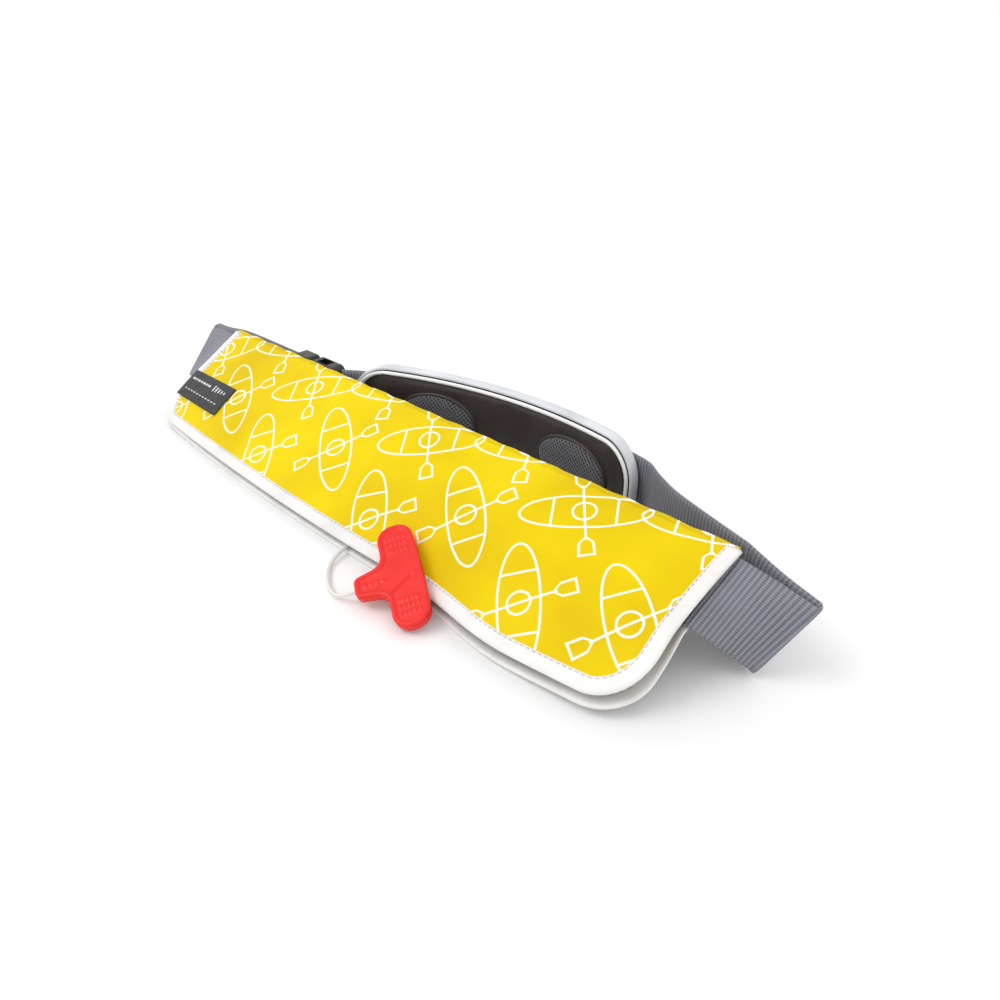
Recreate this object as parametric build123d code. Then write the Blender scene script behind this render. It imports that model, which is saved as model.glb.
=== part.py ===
from build123d import *
import math
import os

# Inflatable belt pack life jacket, lying flap up on a flat surface. Millimetres, +Z up, +X along
# the pouch, -Y towards the flap's lip. The pouch's fold line is at y = FOLD_Y before the shift.
os.makedirs("parts", exist_ok=True)

SHIFT_X = -7.2
SHIFT_Y = -25.274

# Pouch
POUCH_HALF = 235.0
FOLD_Y = 45.0
FOLD_Z = 54.0
LIP_END_Y = -38.0
LIP_MID_Y = -49.0
CORNER_RADIUS = 25.0
PANEL_THICK = 1.6
BINDING_WIDTH = 9.0
BINDING_HALF = 1.3
LIP_PLAN_WIDTH = 8.0
LIP_DROP = 13.0
LIP_DROP_SPAN = (72.0, 168.0)
FLAT_HALF = 130.0
SPAN_STATIONS = (-235.0, -222.0, -200.0, -175.0, -150.0, -130.0, -65.0, 0.0,
                 65.0, 100.0, 130.0, 150.0, 175.0, 200.0, 222.0, 235.0)

# Flap section: fraction of the way from the fold to just past the lip, and heights at three stations
FLAP_FRACTIONS = (0.0, 0.16, 0.32, 0.48, 0.62, 0.74, 0.84, 0.92, 1.0)
FLAP_LEFT_Z = (54.0, 46.0, 38.0, 30.4, 23.0, 16.3, 11.3, 8.1, 6.2)
FLAP_MID_Z = (54.0, 50.3, 43.8, 35.6, 27.8, 20.9, 14.6, 9.9, 6.2)
FLAP_RIGHT_Z = (54.0, 51.4, 48.4, 44.6, 39.5, 31.3, 24.0, 18.6, 14.0)
FLAP_PAST_LIP = 3.0

# Back panel section (y, z) at the left end, the flat middle and the right end, fold to lip
BACK_LEFT = ((43.5, 45.6), (29.0, 37.1), (14.0, 28.3), (-1.0, 19.4), (-4.0, 17.2),
             (-13.0, 12.0), (-24.0, 6.4), (-32.0, 4.2), (-41.0, 2.6))
BACK_MID = ((43.0, 51.0), (40.4, 35.0), (37.7, 18.0), (36.2, 3.0), (35.2, 0.8),
            (5.0, 0.8), (-25.0, 0.8), (-42.0, 0.8), (-54.0, 1.2))
BACK_RIGHT = ((43.5, 47.0), (28.0, 42.6), (11.0, 37.8), (-6.0, 32.6), (-9.0, 30.0),
              (-18.0, 22.0), (-27.0, 14.0), (-33.0, 10.0), (-41.0, 6.5))

# Belt webbing: 50 mm wide, 2 mm thick
WEB_THICK = 2.0
WEB_LEFT = ((43.0, 49.4), (0.5, 24.2))
WEB_MID = ((40.5, 50.0), (32.5, 2.9))
WEB_RIGHT = ((43.0, 50.6), (-4.5, 37.4))
WEB_LOW = 2.0
WEB_HIGH = 52.0
SLEEVE_OFFSET = 1.9
SLEEVE_THICK = 1.0
SLEEVE_HALF = 205.0

# Lumbar pad: a slab bent round a vertical axis
PAD_AXIS = (62.5, -206.7)
PAD_LEFT = -90.0
PAD_RIGHT = 143.0
PAD_HEIGHT = 61.5
PAD_CORNER = 26.0
PAD_RADII = (300.5, 302.0, 308.0, 309.5)
PIPING_RADIUS = 299.0
PIPING_INSET = 2.5
PIPING_WIDTH = 3.0
MESH_RADIUS = 296.5
MESH_CENTRES = ((-24.0, 28.5), (91.0, 28.5))
MESH_HALF_LENGTH = 31.0
MESH_HALF_HEIGHT = 20.0
WEB_PAD_RADIUS = 311.2
KEEPER_X = (-50.0, 106.0)
KEEPER_WIDTH = 24.0

# Slider, loose belt tail and its elastic keeper, on the belt behind the pad
SLIDER_X = (-30.0, -14.0)
TAIL_X = (-30.0, 32.0)
ELASTIC_X = (20.0, 28.0)

# Buckle, on the vertical stretch of belt at y = LEFT_WEB_Y
LEFT_WEB_Y = 53.5
BUCKLE_LEFT = -157.0
BUCKLE_MOUTH = -136.0
BUCKLE_RIGHT = -105.0
BUCKLE_THICK = 12.0
BUCKLE_LOW = 0.3
BUCKLE_HIGH = 54.0
CAVITY_THICK = 8.0
CAVITY_LOW = 5.0
CAVITY_HIGH = 49.5
CAVITY_END = -110.0

# Inflator, lever and handle
LEVER_PIVOT = (8.5, -22.0)
LEVER_ARM = 20.0
LEVER_REST_ANGLE = 30.0
LEVER_LOW = 3.2
LEVER_HIGH = 6.4
PIN_RADIUS = 2.0
PIN_CLEARANCE = 0.05
CYLINDER_RADIUS = 12.0
CYLINDER_Y = 10.0
CYLINDER_Z = 14.6
HANDLE_CENTRE = Vector(87.0, -52.5, 16.6)
HANDLE_BAR_DIRECTION = Vector(0.814, -0.494, -0.305)
HANDLE_STEM_DIRECTION = Vector(-0.573, -0.775, -0.27)
HANDLE_BAR_LENGTH = 68.0
HANDLE_BAR_WIDTH = 21.0
HANDLE_THICK = 6.5
HANDLE_STEM_REACH = 28.0

# Pull cord: a limp cord, straight out of the pouch, then round on the surface to the handle's stem
CORD_DIAMETER = 2.6
CORD_ROUTE = ((26.8, -16.4, 4.5), (26.0, -34.0, 4.5), (26.8, -51.0, 4.5), (32.0, -66.0, 1.6),
              (49.0, -78.0, 1.6), (63.6, -80.6, 3.4), (70.97, -74.19, 9.04))


def save(name, shape):
    """Write one node, moved so that the box centre is the origin."""
    solids = shape.solids()
    moved = Pos(SHIFT_X, SHIFT_Y, 0) * (solids[0] if len(solids) == 1 else Compound(solids))
    export_step(moved, f"parts/{name}.step")
    print(f"{name:22s} solids {len(solids)}  volume {sum(s.volume for s in solids):10.1f}")
    return shape


def mix(a, b, share):
    """Point a moved towards point b by a share of the way."""
    return tuple(p + (q - p) * share for p, q in zip(a, b))


def ruled(sections):
    """Solid through closed polygons, straight from each to the next."""
    return Solid.make_loft([Wire.make_polygon([Vector(*p) for p in s], close=True) for s in sections], ruled=True)


def vertex_normals(points):
    """Unit normals of a (y, z) polyline, on its upper or inner side."""
    normals = []
    for i in range(len(points)):
        before = points[max(i - 1, 0)]
        after = points[min(i + 1, len(points) - 1)]
        dy, dz = after[0] - before[0], after[1] - before[1]
        length = math.hypot(dy, dz)
        normals.append((dz / length, -dy / length))
    return normals


def layer(section_at, stations, first, last, low, high):
    """Sheet between two offsets of a section that changes along X, from point first to last."""
    sections = []
    for x in stations:
        points = section_at(x)
        normals = vertex_normals(points)
        picked = range(first, last + 1)
        top = [(x, points[k][0] + normals[k][0] * high, points[k][1] + normals[k][1] * high) for k in picked]
        under = [(x, points[k][0] + normals[k][0] * low, points[k][1] + normals[k][1] * low) for k in picked]
        sections.append(top + under[::-1])
    return ruled(sections)


def lip_drop(x):
    """How much further forward the lip reaches to the right of the T-handle."""
    start, end = LIP_DROP_SPAN
    share = min(max((x - start) / (end - start), 0.0), 1.0)
    return LIP_DROP * share * share * (3 - 2 * share)


def lip_line(x):
    """Y of the pouch's lip at x."""
    return LIP_MID_Y + (LIP_END_Y - LIP_MID_Y) * (x / POUCH_HALF) ** 2 - lip_drop(x)


def flap_section(x):
    """Flap centre line at x, from the fold to just past the lip."""
    share = (x / POUCH_HALF) ** 2
    end = FLAP_RIGHT_Z if x > 0 else FLAP_LEFT_Z
    lip = lip_line(x) - FLAP_PAST_LIP
    points = []
    for fraction, mid_z, end_z in zip(FLAP_FRACTIONS, FLAP_MID_Z, end):
        points.append((FOLD_Y + (lip - FOLD_Y) * fraction, mid_z + (end_z - mid_z) * share))
    return points


def end_share(x):
    """How far the belt and the back panel have turned from the flat middle to the pinched end."""
    return (max(abs(x) - FLAT_HALF, 0.0) / (POUCH_HALF - FLAT_HALF)) ** 1.5


def back_section(x):
    """Back panel centre line at x, from the fold down and forward to the lip."""
    end = BACK_RIGHT if x > 0 else BACK_LEFT
    points = [mix(mid, far, end_share(x)) for mid, far in zip(BACK_MID, end)]
    for k, part in ((-3, 0.35), (-2, 0.7), (-1, 1.0)):
        points[k] = (points[k][0] - lip_drop(x) * part, points[k][1])
    return points


def web_station(x):
    """Upper and lower edge of the belt inside the pouch at x."""
    end = WEB_RIGHT if x > 0 else WEB_LEFT
    return [(x, *mix(mid, far, end_share(x))) for mid, far in zip(WEB_MID, end)]


def ribbon(stations, thick, offset=0.0, first_along=None, last_along=None):
    """Flat strip through pairs of edge points, thick across its face, moved off by offset."""
    edges = [(Vector(*upper), Vector(*lower)) for upper, lower in stations]
    middles = [(upper + lower) * 0.5 for upper, lower in edges]
    sections = []
    for i, (upper, lower) in enumerate(edges):
        along = (middles[min(i + 1, len(middles) - 1)] - middles[max(i - 1, 0)]).normalized()
        if i == 0 and first_along:
            along = first_along
        if i == len(edges) - 1 and last_along:
            along = last_along
        face = along.cross((lower - upper).normalized()).normalized()
        near, far = face * (offset - thick / 2), face * (offset + thick / 2)
        sections.append([upper + near, lower + near, lower + far, upper + far])
    loops = [Wire.make_polygon(section, close=True) for section in sections]
    return Solid.make_loft(loops, ruled=True)


def plan_prism(inset_end, inset_lip):
    """Vertical prism over the pouch's plan outline, drawn in from its ends and its lip."""
    half = POUCH_HALF - inset_end
    back_y = FOLD_Y + 40
    stations = [-half, -160, -80, 0, 60, 90, 120, 145, 170, 200, half]
    points = [(x, lip_line(x) + inset_lip) for x in stations]
    lip = Spline(*points)
    sides = Polyline(points[-1], (half, back_y), (-half, back_y), points[0])
    outline = make_face(Curve() + [lip, sides])
    corners = outline.vertices().sort_by(Axis.Y)[:2]
    outline = fillet(corners, CORNER_RADIUS - inset_end)
    return Pos(0, 0, -5) * extrude(outline, 90)


def box_between(low, high):
    """Box from one corner to the opposite one."""
    size = [b - a for a, b in zip(low, high)]
    middle = [(a + b) / 2 for a, b in zip(low, high)]
    return Pos(*middle) * Box(*size)


def make_pouch():
    outer = plan_prism(0, 0)
    inner = plan_prism(BINDING_WIDTH, LIP_PLAN_WIDTH)
    last = len(FLAP_FRACTIONS) - 1
    half = PANEL_THICK / 2
    panel = layer(flap_section, SPAN_STATIONS, 0, last, -half, half) & inner
    save("front_panel", panel)
    edge = (layer(flap_section, SPAN_STATIONS, 0, last, -BINDING_HALF, BINDING_HALF) & outer) - inner
    save("front_binding", edge)
    strip_stations = [x for x in SPAN_STATIONS if abs(x) <= 175]
    save("hook_strip", layer(flap_section, strip_stations, 5, 6, -half - 1.4, -half))
    label_stations = (-234.0, -222.0, -200.0, -175.0, -168.0)
    save("label_patch", layer(flap_section, label_stations, 3, 5, BINDING_HALF + 0.05, BINDING_HALF + 0.85))
    last = len(BACK_MID) - 1
    back = layer(back_section, SPAN_STATIONS, 0, last, -half, half) & inner
    save("back_panel", back)
    back_edge = (layer(back_section, SPAN_STATIONS, 0, last, -half, PANEL_THICK) & outer) - inner
    save("back_binding", back_edge)
    save("loop_strip", box_between((-125, -35, PANEL_THICK), (125, -23, PANEL_THICK + 1.2)))
    sleeve_stations = []
    for x in (-SLEEVE_HALF, -200, -175, -150, -130, 0, 130, 150, 175, 200, SLEEVE_HALF):
        upper, lower = web_station(x)
        sleeve_stations.append((mix(upper, lower, 0.12), lower))
    save("belt_sleeve", ribbon(sleeve_stations, SLEEVE_THICK, -SLEEVE_OFFSET))


def make_bladder():
    """Bladder folded in two packs, the right one over the cylinder."""
    left_end = ((22, 5.5), (2, 5.5), (2, 18), (12, 29), (26, 36))
    left_mid = ((28, 2.0), (0, 2.0), (0, 22), (10, 33), (30, 43))
    sections = [[(x, *p) for p in pts] for x, pts in ((-152, left_end), (-130, left_mid), (-4, left_mid))]
    save("bladder_left", ruled(sections))
    right_mid = ((31, 27.6), (0, 27.6), (2, 31), (10, 36), (31, 44))
    right_end = ((29, 27.6), (3, 27.6), (4, 30), (11, 34), (28, 40))
    sections = [[(x, *p) for p in pts] for x, pts in ((0, right_mid), (130, right_mid), (156, right_end))]
    save("bladder_right", ruled(sections))


def make_inflator():
    x0, y0 = LEVER_PIVOT
    body = box_between((4, -4, 2.4), (34, 24, 26.4))
    body = fillet(body.edges().filter_by(Axis.Z), 4)
    lug = box_between((x0 - 5, y0 - 5, LEVER_HIGH + 0.4), (x0 + 5, -3, LEVER_HIGH + 4.4))
    pin_hole = Pos(x0, y0, 20) * Cylinder(PIN_RADIUS, 40)
    save("inflator_body", body + lug - pin_hole)
    pin = Pos(x0, y0, LEVER_LOW) * Cylinder(PIN_RADIUS, 7.6, align=(Align.CENTER, Align.CENTER, Align.MIN))
    save("lever_pin", pin)
    arm_angle = math.radians(LEVER_REST_ANGLE)
    tip = (x0 + LEVER_ARM * math.cos(arm_angle), y0 + LEVER_ARM * math.sin(arm_angle))
    thick = LEVER_HIGH - LEVER_LOW
    level = Pos(0, 0, LEVER_LOW)
    stand = (Align.CENTER, Align.CENTER, Align.MIN)
    hub = Pos(x0, y0, 0) * level * Cylinder(4.4, thick, align=stand)
    boss = Pos(tip[0], tip[1], 0) * level * Cylinder(4.0, thick, align=stand)
    arm = Pos((x0 + tip[0]) / 2, (y0 + tip[1]) / 2, 0) * level * Rot(0, 0, LEVER_REST_ANGLE)
    arm = arm * Box(LEVER_ARM, 5.6, thick, align=stand)
    bore = Pos(x0, y0, 0) * Cylinder(PIN_RADIUS + PIN_CLEARANCE, 60)
    save("inflation_lever", hub + boss + arm - bore)
    save("seal_indicator", Pos(26, -4, 17) * Rot(90, 0, 0) * Cylinder(4.5, 3, align=stand))
    along = Pos(34, CYLINDER_Y, CYLINDER_Z) * Rot(0, 90, 0)
    neck = along * Cylinder(7, 12, align=stand)
    barrel = along * Pos(0, 0, 11) * Cylinder(CYLINDER_RADIUS, 95, align=stand)
    barrel = fillet(barrel.edges().sort_by(Axis.X)[-1:], 10)
    barrel = fillet(barrel.edges().filter_by(GeomType.CIRCLE).sort_by(Axis.X)[:1], 4)
    save("co2_cylinder", neck + barrel)
    tube_at = Pos(-26, -12, 10) * Rot(0, -90, 0)
    save("oral_tube", tube_at * Cylinder(6.5, 112, align=stand) - tube_at * Pos(0, 0, 20) * Cylinder(4.5, 95, align=stand))
    flange = box_between((-26, -19, 2.2), (-10, 0, 18))
    save("oral_flange", fillet(flange.edges().filter_by(Axis.Z), 3))
    save("oral_cap", tube_at * Pos(0, 0, 112) * Cylinder(7.8, 9, align=stand))


def bend(front, fold, back, spread):
    """Stations of a tight U of webbing from the front edge pair over the fold to the back pair."""
    stations = [front, [mix(a, b, 0.5) for a, b in zip(front, fold)]]
    half = [mix(a, b, 0.5) for a, b in zip(front, back)]
    outward = [(Vector(*b) - Vector(*a)).normalized() for a, b in zip(half, fold)]
    across = [(Vector(*b) - Vector(*a)).normalized() for a, b in zip(front, back)]
    for turn in (-90, -45, 0, 45, 90):
        angle = math.radians(turn)
        station = []
        for k in range(2):
            point = Vector(*fold[k]) + outward[k] * (spread * (math.cos(angle) - 1))
            station.append(tuple(point + across[k] * (spread * math.sin(angle))))
        stations.append(station)
    stations += [[mix(b, a, 0.5) for a, b in zip(back, fold)], back]
    return stations


def make_belt():
    straight_on = Vector(1, 0, 0)
    inside = [web_station(x) for x in SPAN_STATIONS]
    save("belt_front_run", ribbon(inside, WEB_THICK, 0, straight_on, straight_on))
    right_front = inside[-1]
    right_fold = [(281.0, 33.0, 51.5), (260.5, 24.5, 3.2)]
    right_back = [(232.0, 56.5, WEB_HIGH), (232.0, 56.5, WEB_LOW)]
    right_stations = bend(right_front, right_fold, right_back, 3.0)
    return_along = Vector(-29.0, 9.5, 0).normalized()
    save("belt_right_bend", ribbon(right_stations, WEB_THICK, 0, straight_on, return_along))
    points = [(232.0, 56.5), (203.0, 66.0), (178.0, 75.0), (160.0, 85.0), (148.0, 93.0)]
    for x in range(130, -91, -20):
        points.append((float(x), PAD_AXIS[1] + math.sqrt(WEB_PAD_RADIUS ** 2 - (x - PAD_AXIS[0]) ** 2)))
    points.append((BUCKLE_RIGHT + 1.0, LEFT_WEB_Y + 1.6))
    pad_run = [((x, y, WEB_HIGH), (x, y, WEB_LOW)) for x, y in points]
    save("belt_pad_run", ribbon(pad_run, WEB_THICK, 0, return_along))
    left_front = inside[0]
    left_fold = [(-266.5, 43.0, 52.0), (-262.0, 8.5, 16.5)]
    left_back = [(-235.0, 52.0, 52.5), (-235.0, 27.0, 9.7)]
    left_stations = bend(left_front, left_fold, left_back, 3.0)
    save("belt_left_bend", ribbon(left_stations, WEB_THICK, 0, straight_on, straight_on))
    middle = [(-212.0, 53.2, 52.3), (-212.0, 46.0, 3.2)]
    straight = [[(x, LEFT_WEB_Y, WEB_HIGH), (x, LEFT_WEB_Y, WEB_LOW)] for x in (-190.0, BUCKLE_LEFT)]
    start = [(x + 0.3, y, z) for x, y, z in left_back]
    save("belt_left_return", ribbon([start, middle] + straight, WEB_THICK, 0, straight_on))


def make_buckle():
    y0, y1 = LEFT_WEB_Y - BUCKLE_THICK / 2, LEFT_WEB_Y + BUCKLE_THICK / 2
    c0, c1 = LEFT_WEB_Y - CAVITY_THICK / 2, LEFT_WEB_Y + CAVITY_THICK / 2
    female = box_between((BUCKLE_MOUTH, y0, BUCKLE_LOW), (BUCKLE_RIGHT, y1, BUCKLE_HIGH))
    female = fillet(female.edges().filter_by(Axis.Y), 5)
    female = fillet(female.edges().filter_by(Axis.X), 1.5)
    female -= box_between((BUCKLE_MOUTH - 1, c0, CAVITY_LOW), (CAVITY_END, c1, CAVITY_HIGH))
    for z0, z1 in ((-1.0, CAVITY_LOW + 1), (CAVITY_HIGH - 1, 60.0)):
        female -= box_between((BUCKLE_MOUTH + 8, c0, z0), (BUCKLE_MOUTH + 20, c1, z1))
    save("buckle_housing", female)
    plug = box_between((BUCKLE_LEFT, y0, BUCKLE_LOW), (BUCKLE_MOUTH - 0.4, y1, BUCKLE_HIGH))
    plug = fillet(plug.edges().filter_by(Axis.Y), 4)
    plug = fillet(plug.edges().filter_by(Axis.X), 1.5)
    tongue = box_between((BUCKLE_MOUTH - 2, c0 + 0.6, 22), (CAVITY_END - 4, c1 - 0.6, 32.5))
    plug = plug + tongue
    for z0 in (8.0, 41.5):
        plug -= box_between((BUCKLE_MOUTH - 7, c0 - 0.2, z0 - 1.5), (BUCKLE_MOUTH + 1, c1 + 0.2, z0 + 6.5))
    save("buckle_plug", plug)
    for name, sign in (("prong_upper", 1), ("prong_lower", -1)):
        middle_z = (CAVITY_LOW + CAVITY_HIGH) / 2
        outer_z = middle_z + sign * (CAVITY_HIGH - CAVITY_LOW) / 2
        base = middle_z + sign * 14.8
        low, high = sorted((base, base + sign * 4.6))
        stem = box_between((BUCKLE_MOUTH - 6.4, c0 + 0.8, low), (CAVITY_END - 5, c1 - 0.8, high))
        tab_low, tab_high = sorted((base + sign * 2, outer_z - sign * 0.5))
        tab = box_between((BUCKLE_MOUTH + 9, c0 + 0.8, tab_low), (BUCKLE_MOUTH + 19, c1 - 0.8, tab_high))
        save(name, stem + tab)


def pad_face(inset):
    """Pad outline in the X-Z plane, drawn in all round, as a prism across Y."""
    width = PAD_RIGHT - PAD_LEFT - 2 * inset
    height = PAD_HEIGHT - 2 * inset
    at = Plane.XZ * Pos((PAD_LEFT + PAD_RIGHT) / 2, PAD_HEIGHT / 2 + 0.1)
    outline = at * RectangleRounded(width, height, PAD_CORNER - inset)
    return Pos(0, 140, 0) * extrude(outline, 160)


def pad_shell(inner, outer, low=-5.0, high=90.0):
    """Part of a tube round the pad's vertical axis."""
    tube = Cylinder(outer, high - low) - Cylinder(inner, high - low)
    return Pos(PAD_AXIS[0], PAD_AXIS[1], (low + high) / 2) * tube


def make_pad():
    face_r, core_in, core_out, back_r = PAD_RADII
    behind = PIPING_INSET
    seam = PIPING_INSET + PIPING_WIDTH
    save("pad_core", pad_shell(core_in, core_out) & pad_face(behind))
    save("pad_front_cover", pad_shell(face_r, core_in) & pad_face(seam))
    ring = pad_face(behind) - pad_face(seam)
    save("pad_piping", pad_shell(PIPING_RADIUS, core_in) & ring)
    back = pad_shell(core_out, back_r) & pad_face(0)
    rim = pad_shell(core_in - 1, core_out) & (pad_face(0) - pad_face(behind))
    save("pad_back_cover", back + rim)
    for name, (x, z) in zip(("mesh_pad_left", "mesh_pad_right"), MESH_CENTRES):
        oval = Plane.XZ * Pos(x, z) * Ellipse(MESH_HALF_LENGTH, MESH_HALF_HEIGHT)
        save(name, pad_shell(MESH_RADIUS, face_r) & (Pos(0, 140, 0) * extrude(oval, 160)))
    for name, x in zip(("pad_keeper_left", "pad_keeper_right"), KEEPER_X):
        slab = box_between((x - KEEPER_WIDTH / 2, 0, 0.3), (x + KEEPER_WIDTH / 2, 130, 57))
        pocket = pad_shell(back_r - 1, WEB_PAD_RADIUS + 1.4, WEB_LOW - 0.4, WEB_HIGH + 0.4)
        save(name, (pad_shell(back_r, WEB_PAD_RADIUS + 2.8) & slab) - pocket)
    make_adjuster(back_r)


def make_adjuster(back_r):
    """Slider, loose tail and elastic keeper round the belt behind the pad."""
    tail_out = WEB_PAD_RADIUS + 1.5 * WEB_THICK
    tail_slab = box_between((TAIL_X[0], 0, WEB_LOW), (TAIL_X[1], 130, WEB_HIGH))
    save("belt_tail", pad_shell(WEB_PAD_RADIUS + WEB_THICK / 2, tail_out) & tail_slab)
    for name, span, wall in (("slider", SLIDER_X, 2.0), ("elastic_keeper", ELASTIC_X, 1.2)):
        slab = box_between((span[0], 0, 0.4), (span[1], 130, 53.6))
        pocket = pad_shell(back_r - 1, tail_out + 0.2, WEB_LOW - 0.3, WEB_HIGH + 0.3)
        save(name, (pad_shell(back_r + 0.2, tail_out + 0.2 + wall) & slab) - pocket)


def handle_plane():
    """Plane of the T-handle: X along the bar, Y along the stem, Z out of its face."""
    bar = HANDLE_BAR_DIRECTION.normalized()
    face = HANDLE_STEM_DIRECTION.cross(bar).normalized()
    return Plane(origin=HANDLE_CENTRE, x_dir=bar, z_dir=face)


def handle_outline(inset):
    """T outline in its own plane, drawn in all round."""
    bar = RectangleRounded(HANDLE_BAR_LENGTH - 2 * inset, HANDLE_BAR_WIDTH - 2 * inset, 8 - inset)
    root, tip, reach = 12.0 - inset, 6.5 - inset, HANDLE_STEM_REACH - inset
    stem = make_face(Polyline((-root, 0), (-tip, -reach), (tip, -reach), (root, 0), close=True))
    stem = fillet(stem.vertices().sort_by(Axis.Y)[:2], 3)
    return bar + stem


def make_handle():
    plane = handle_plane()
    body = Pos(0, 0, -HANDLE_THICK / 2) * extrude(handle_outline(0), HANDLE_THICK)
    for side in (1, -1):
        recess = Pos(0, 0, side * HANDLE_THICK / 2 - 0.8) * extrude(handle_outline(2.2), 1.6)
        body -= recess
    return save("t_handle", plane * body)


def make_cord():
    points = [Vector(*p) for p in CORD_ROUTE]
    radii = []
    for before, at, after in zip(points, points[1:], points[2:]):
        turn = math.radians((at - before).get_angle(after - at))
        radii.append(0.45 * min((at - before).length, (after - at).length) / math.tan(turn / 2))
    print("cord radii", [round(r, 1) for r in radii])
    path = FilletPolyline(*points, radius=radii)
    section = Plane(origin=points[0], z_dir=points[1] - points[0]) * Circle(CORD_DIAMETER / 2)
    cord = sweep(section, path=path)
    expected = math.pi * (CORD_DIAMETER / 2) ** 2 * path.length
    print("cord volume", round(cord.volume, 1), "expected", round(expected, 1), "length", round(path.length, 1))
    return save("pull_cord", cord)


make_pouch()
make_bladder()
make_inflator()
make_belt()
make_buckle()
make_pad()
make_handle()
make_cord()
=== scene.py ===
import math
import bmesh
import bpy
import numpy as np
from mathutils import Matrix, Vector, noise


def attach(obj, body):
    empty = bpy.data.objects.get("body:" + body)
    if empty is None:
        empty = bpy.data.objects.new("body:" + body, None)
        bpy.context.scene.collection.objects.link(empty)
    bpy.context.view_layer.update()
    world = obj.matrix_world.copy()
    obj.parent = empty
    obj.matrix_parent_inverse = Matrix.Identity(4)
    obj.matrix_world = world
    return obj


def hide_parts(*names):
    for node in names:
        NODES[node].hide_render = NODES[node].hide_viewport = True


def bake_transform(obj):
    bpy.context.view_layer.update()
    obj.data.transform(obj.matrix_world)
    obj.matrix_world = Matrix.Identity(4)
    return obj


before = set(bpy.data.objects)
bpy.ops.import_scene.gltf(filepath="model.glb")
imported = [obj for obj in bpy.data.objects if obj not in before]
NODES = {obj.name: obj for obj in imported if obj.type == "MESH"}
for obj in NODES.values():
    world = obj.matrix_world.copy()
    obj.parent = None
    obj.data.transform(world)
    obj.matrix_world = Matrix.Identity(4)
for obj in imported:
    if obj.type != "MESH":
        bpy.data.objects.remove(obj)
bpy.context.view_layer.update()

MM = 0.001

# The CAD model's own frame is in millimetres, moved by this much to put its box centre at the origin.
SHIFT = np.array([-7.2, -25.274, 0.0])


def place(points):
    """Millimetre points of the CAD model's own frame, in the row frame, in metres."""
    return (np.asarray(points, float) + SHIFT) * MM


# ---------------------------------------------------------------- camera
CAMERA_AT = (356.35, -264.26, 278.93)
CAMERA_AZIMUTH = 42.84
CAMERA_ELEVATION = 32.17
CAMERA_LENS = 27.59


def make_camera():
    camera = bpy.data.objects.new("camera", bpy.data.cameras.new("camera"))
    bpy.context.scene.collection.objects.link(camera)
    bpy.context.scene.camera = camera
    camera.data.lens = CAMERA_LENS
    camera.data.sensor_width = 36.0
    camera.data.clip_start = 0.01
    camera.location = place(CAMERA_AT)
    a, e = math.radians(CAMERA_AZIMUTH), math.radians(CAMERA_ELEVATION)
    back = Vector((math.sin(a) * math.cos(e), -math.cos(a) * math.cos(e), math.sin(e)))
    camera.rotation_mode = "QUATERNION"
    camera.rotation_quaternion = (-back).to_track_quat("-Z", "Y")


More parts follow.
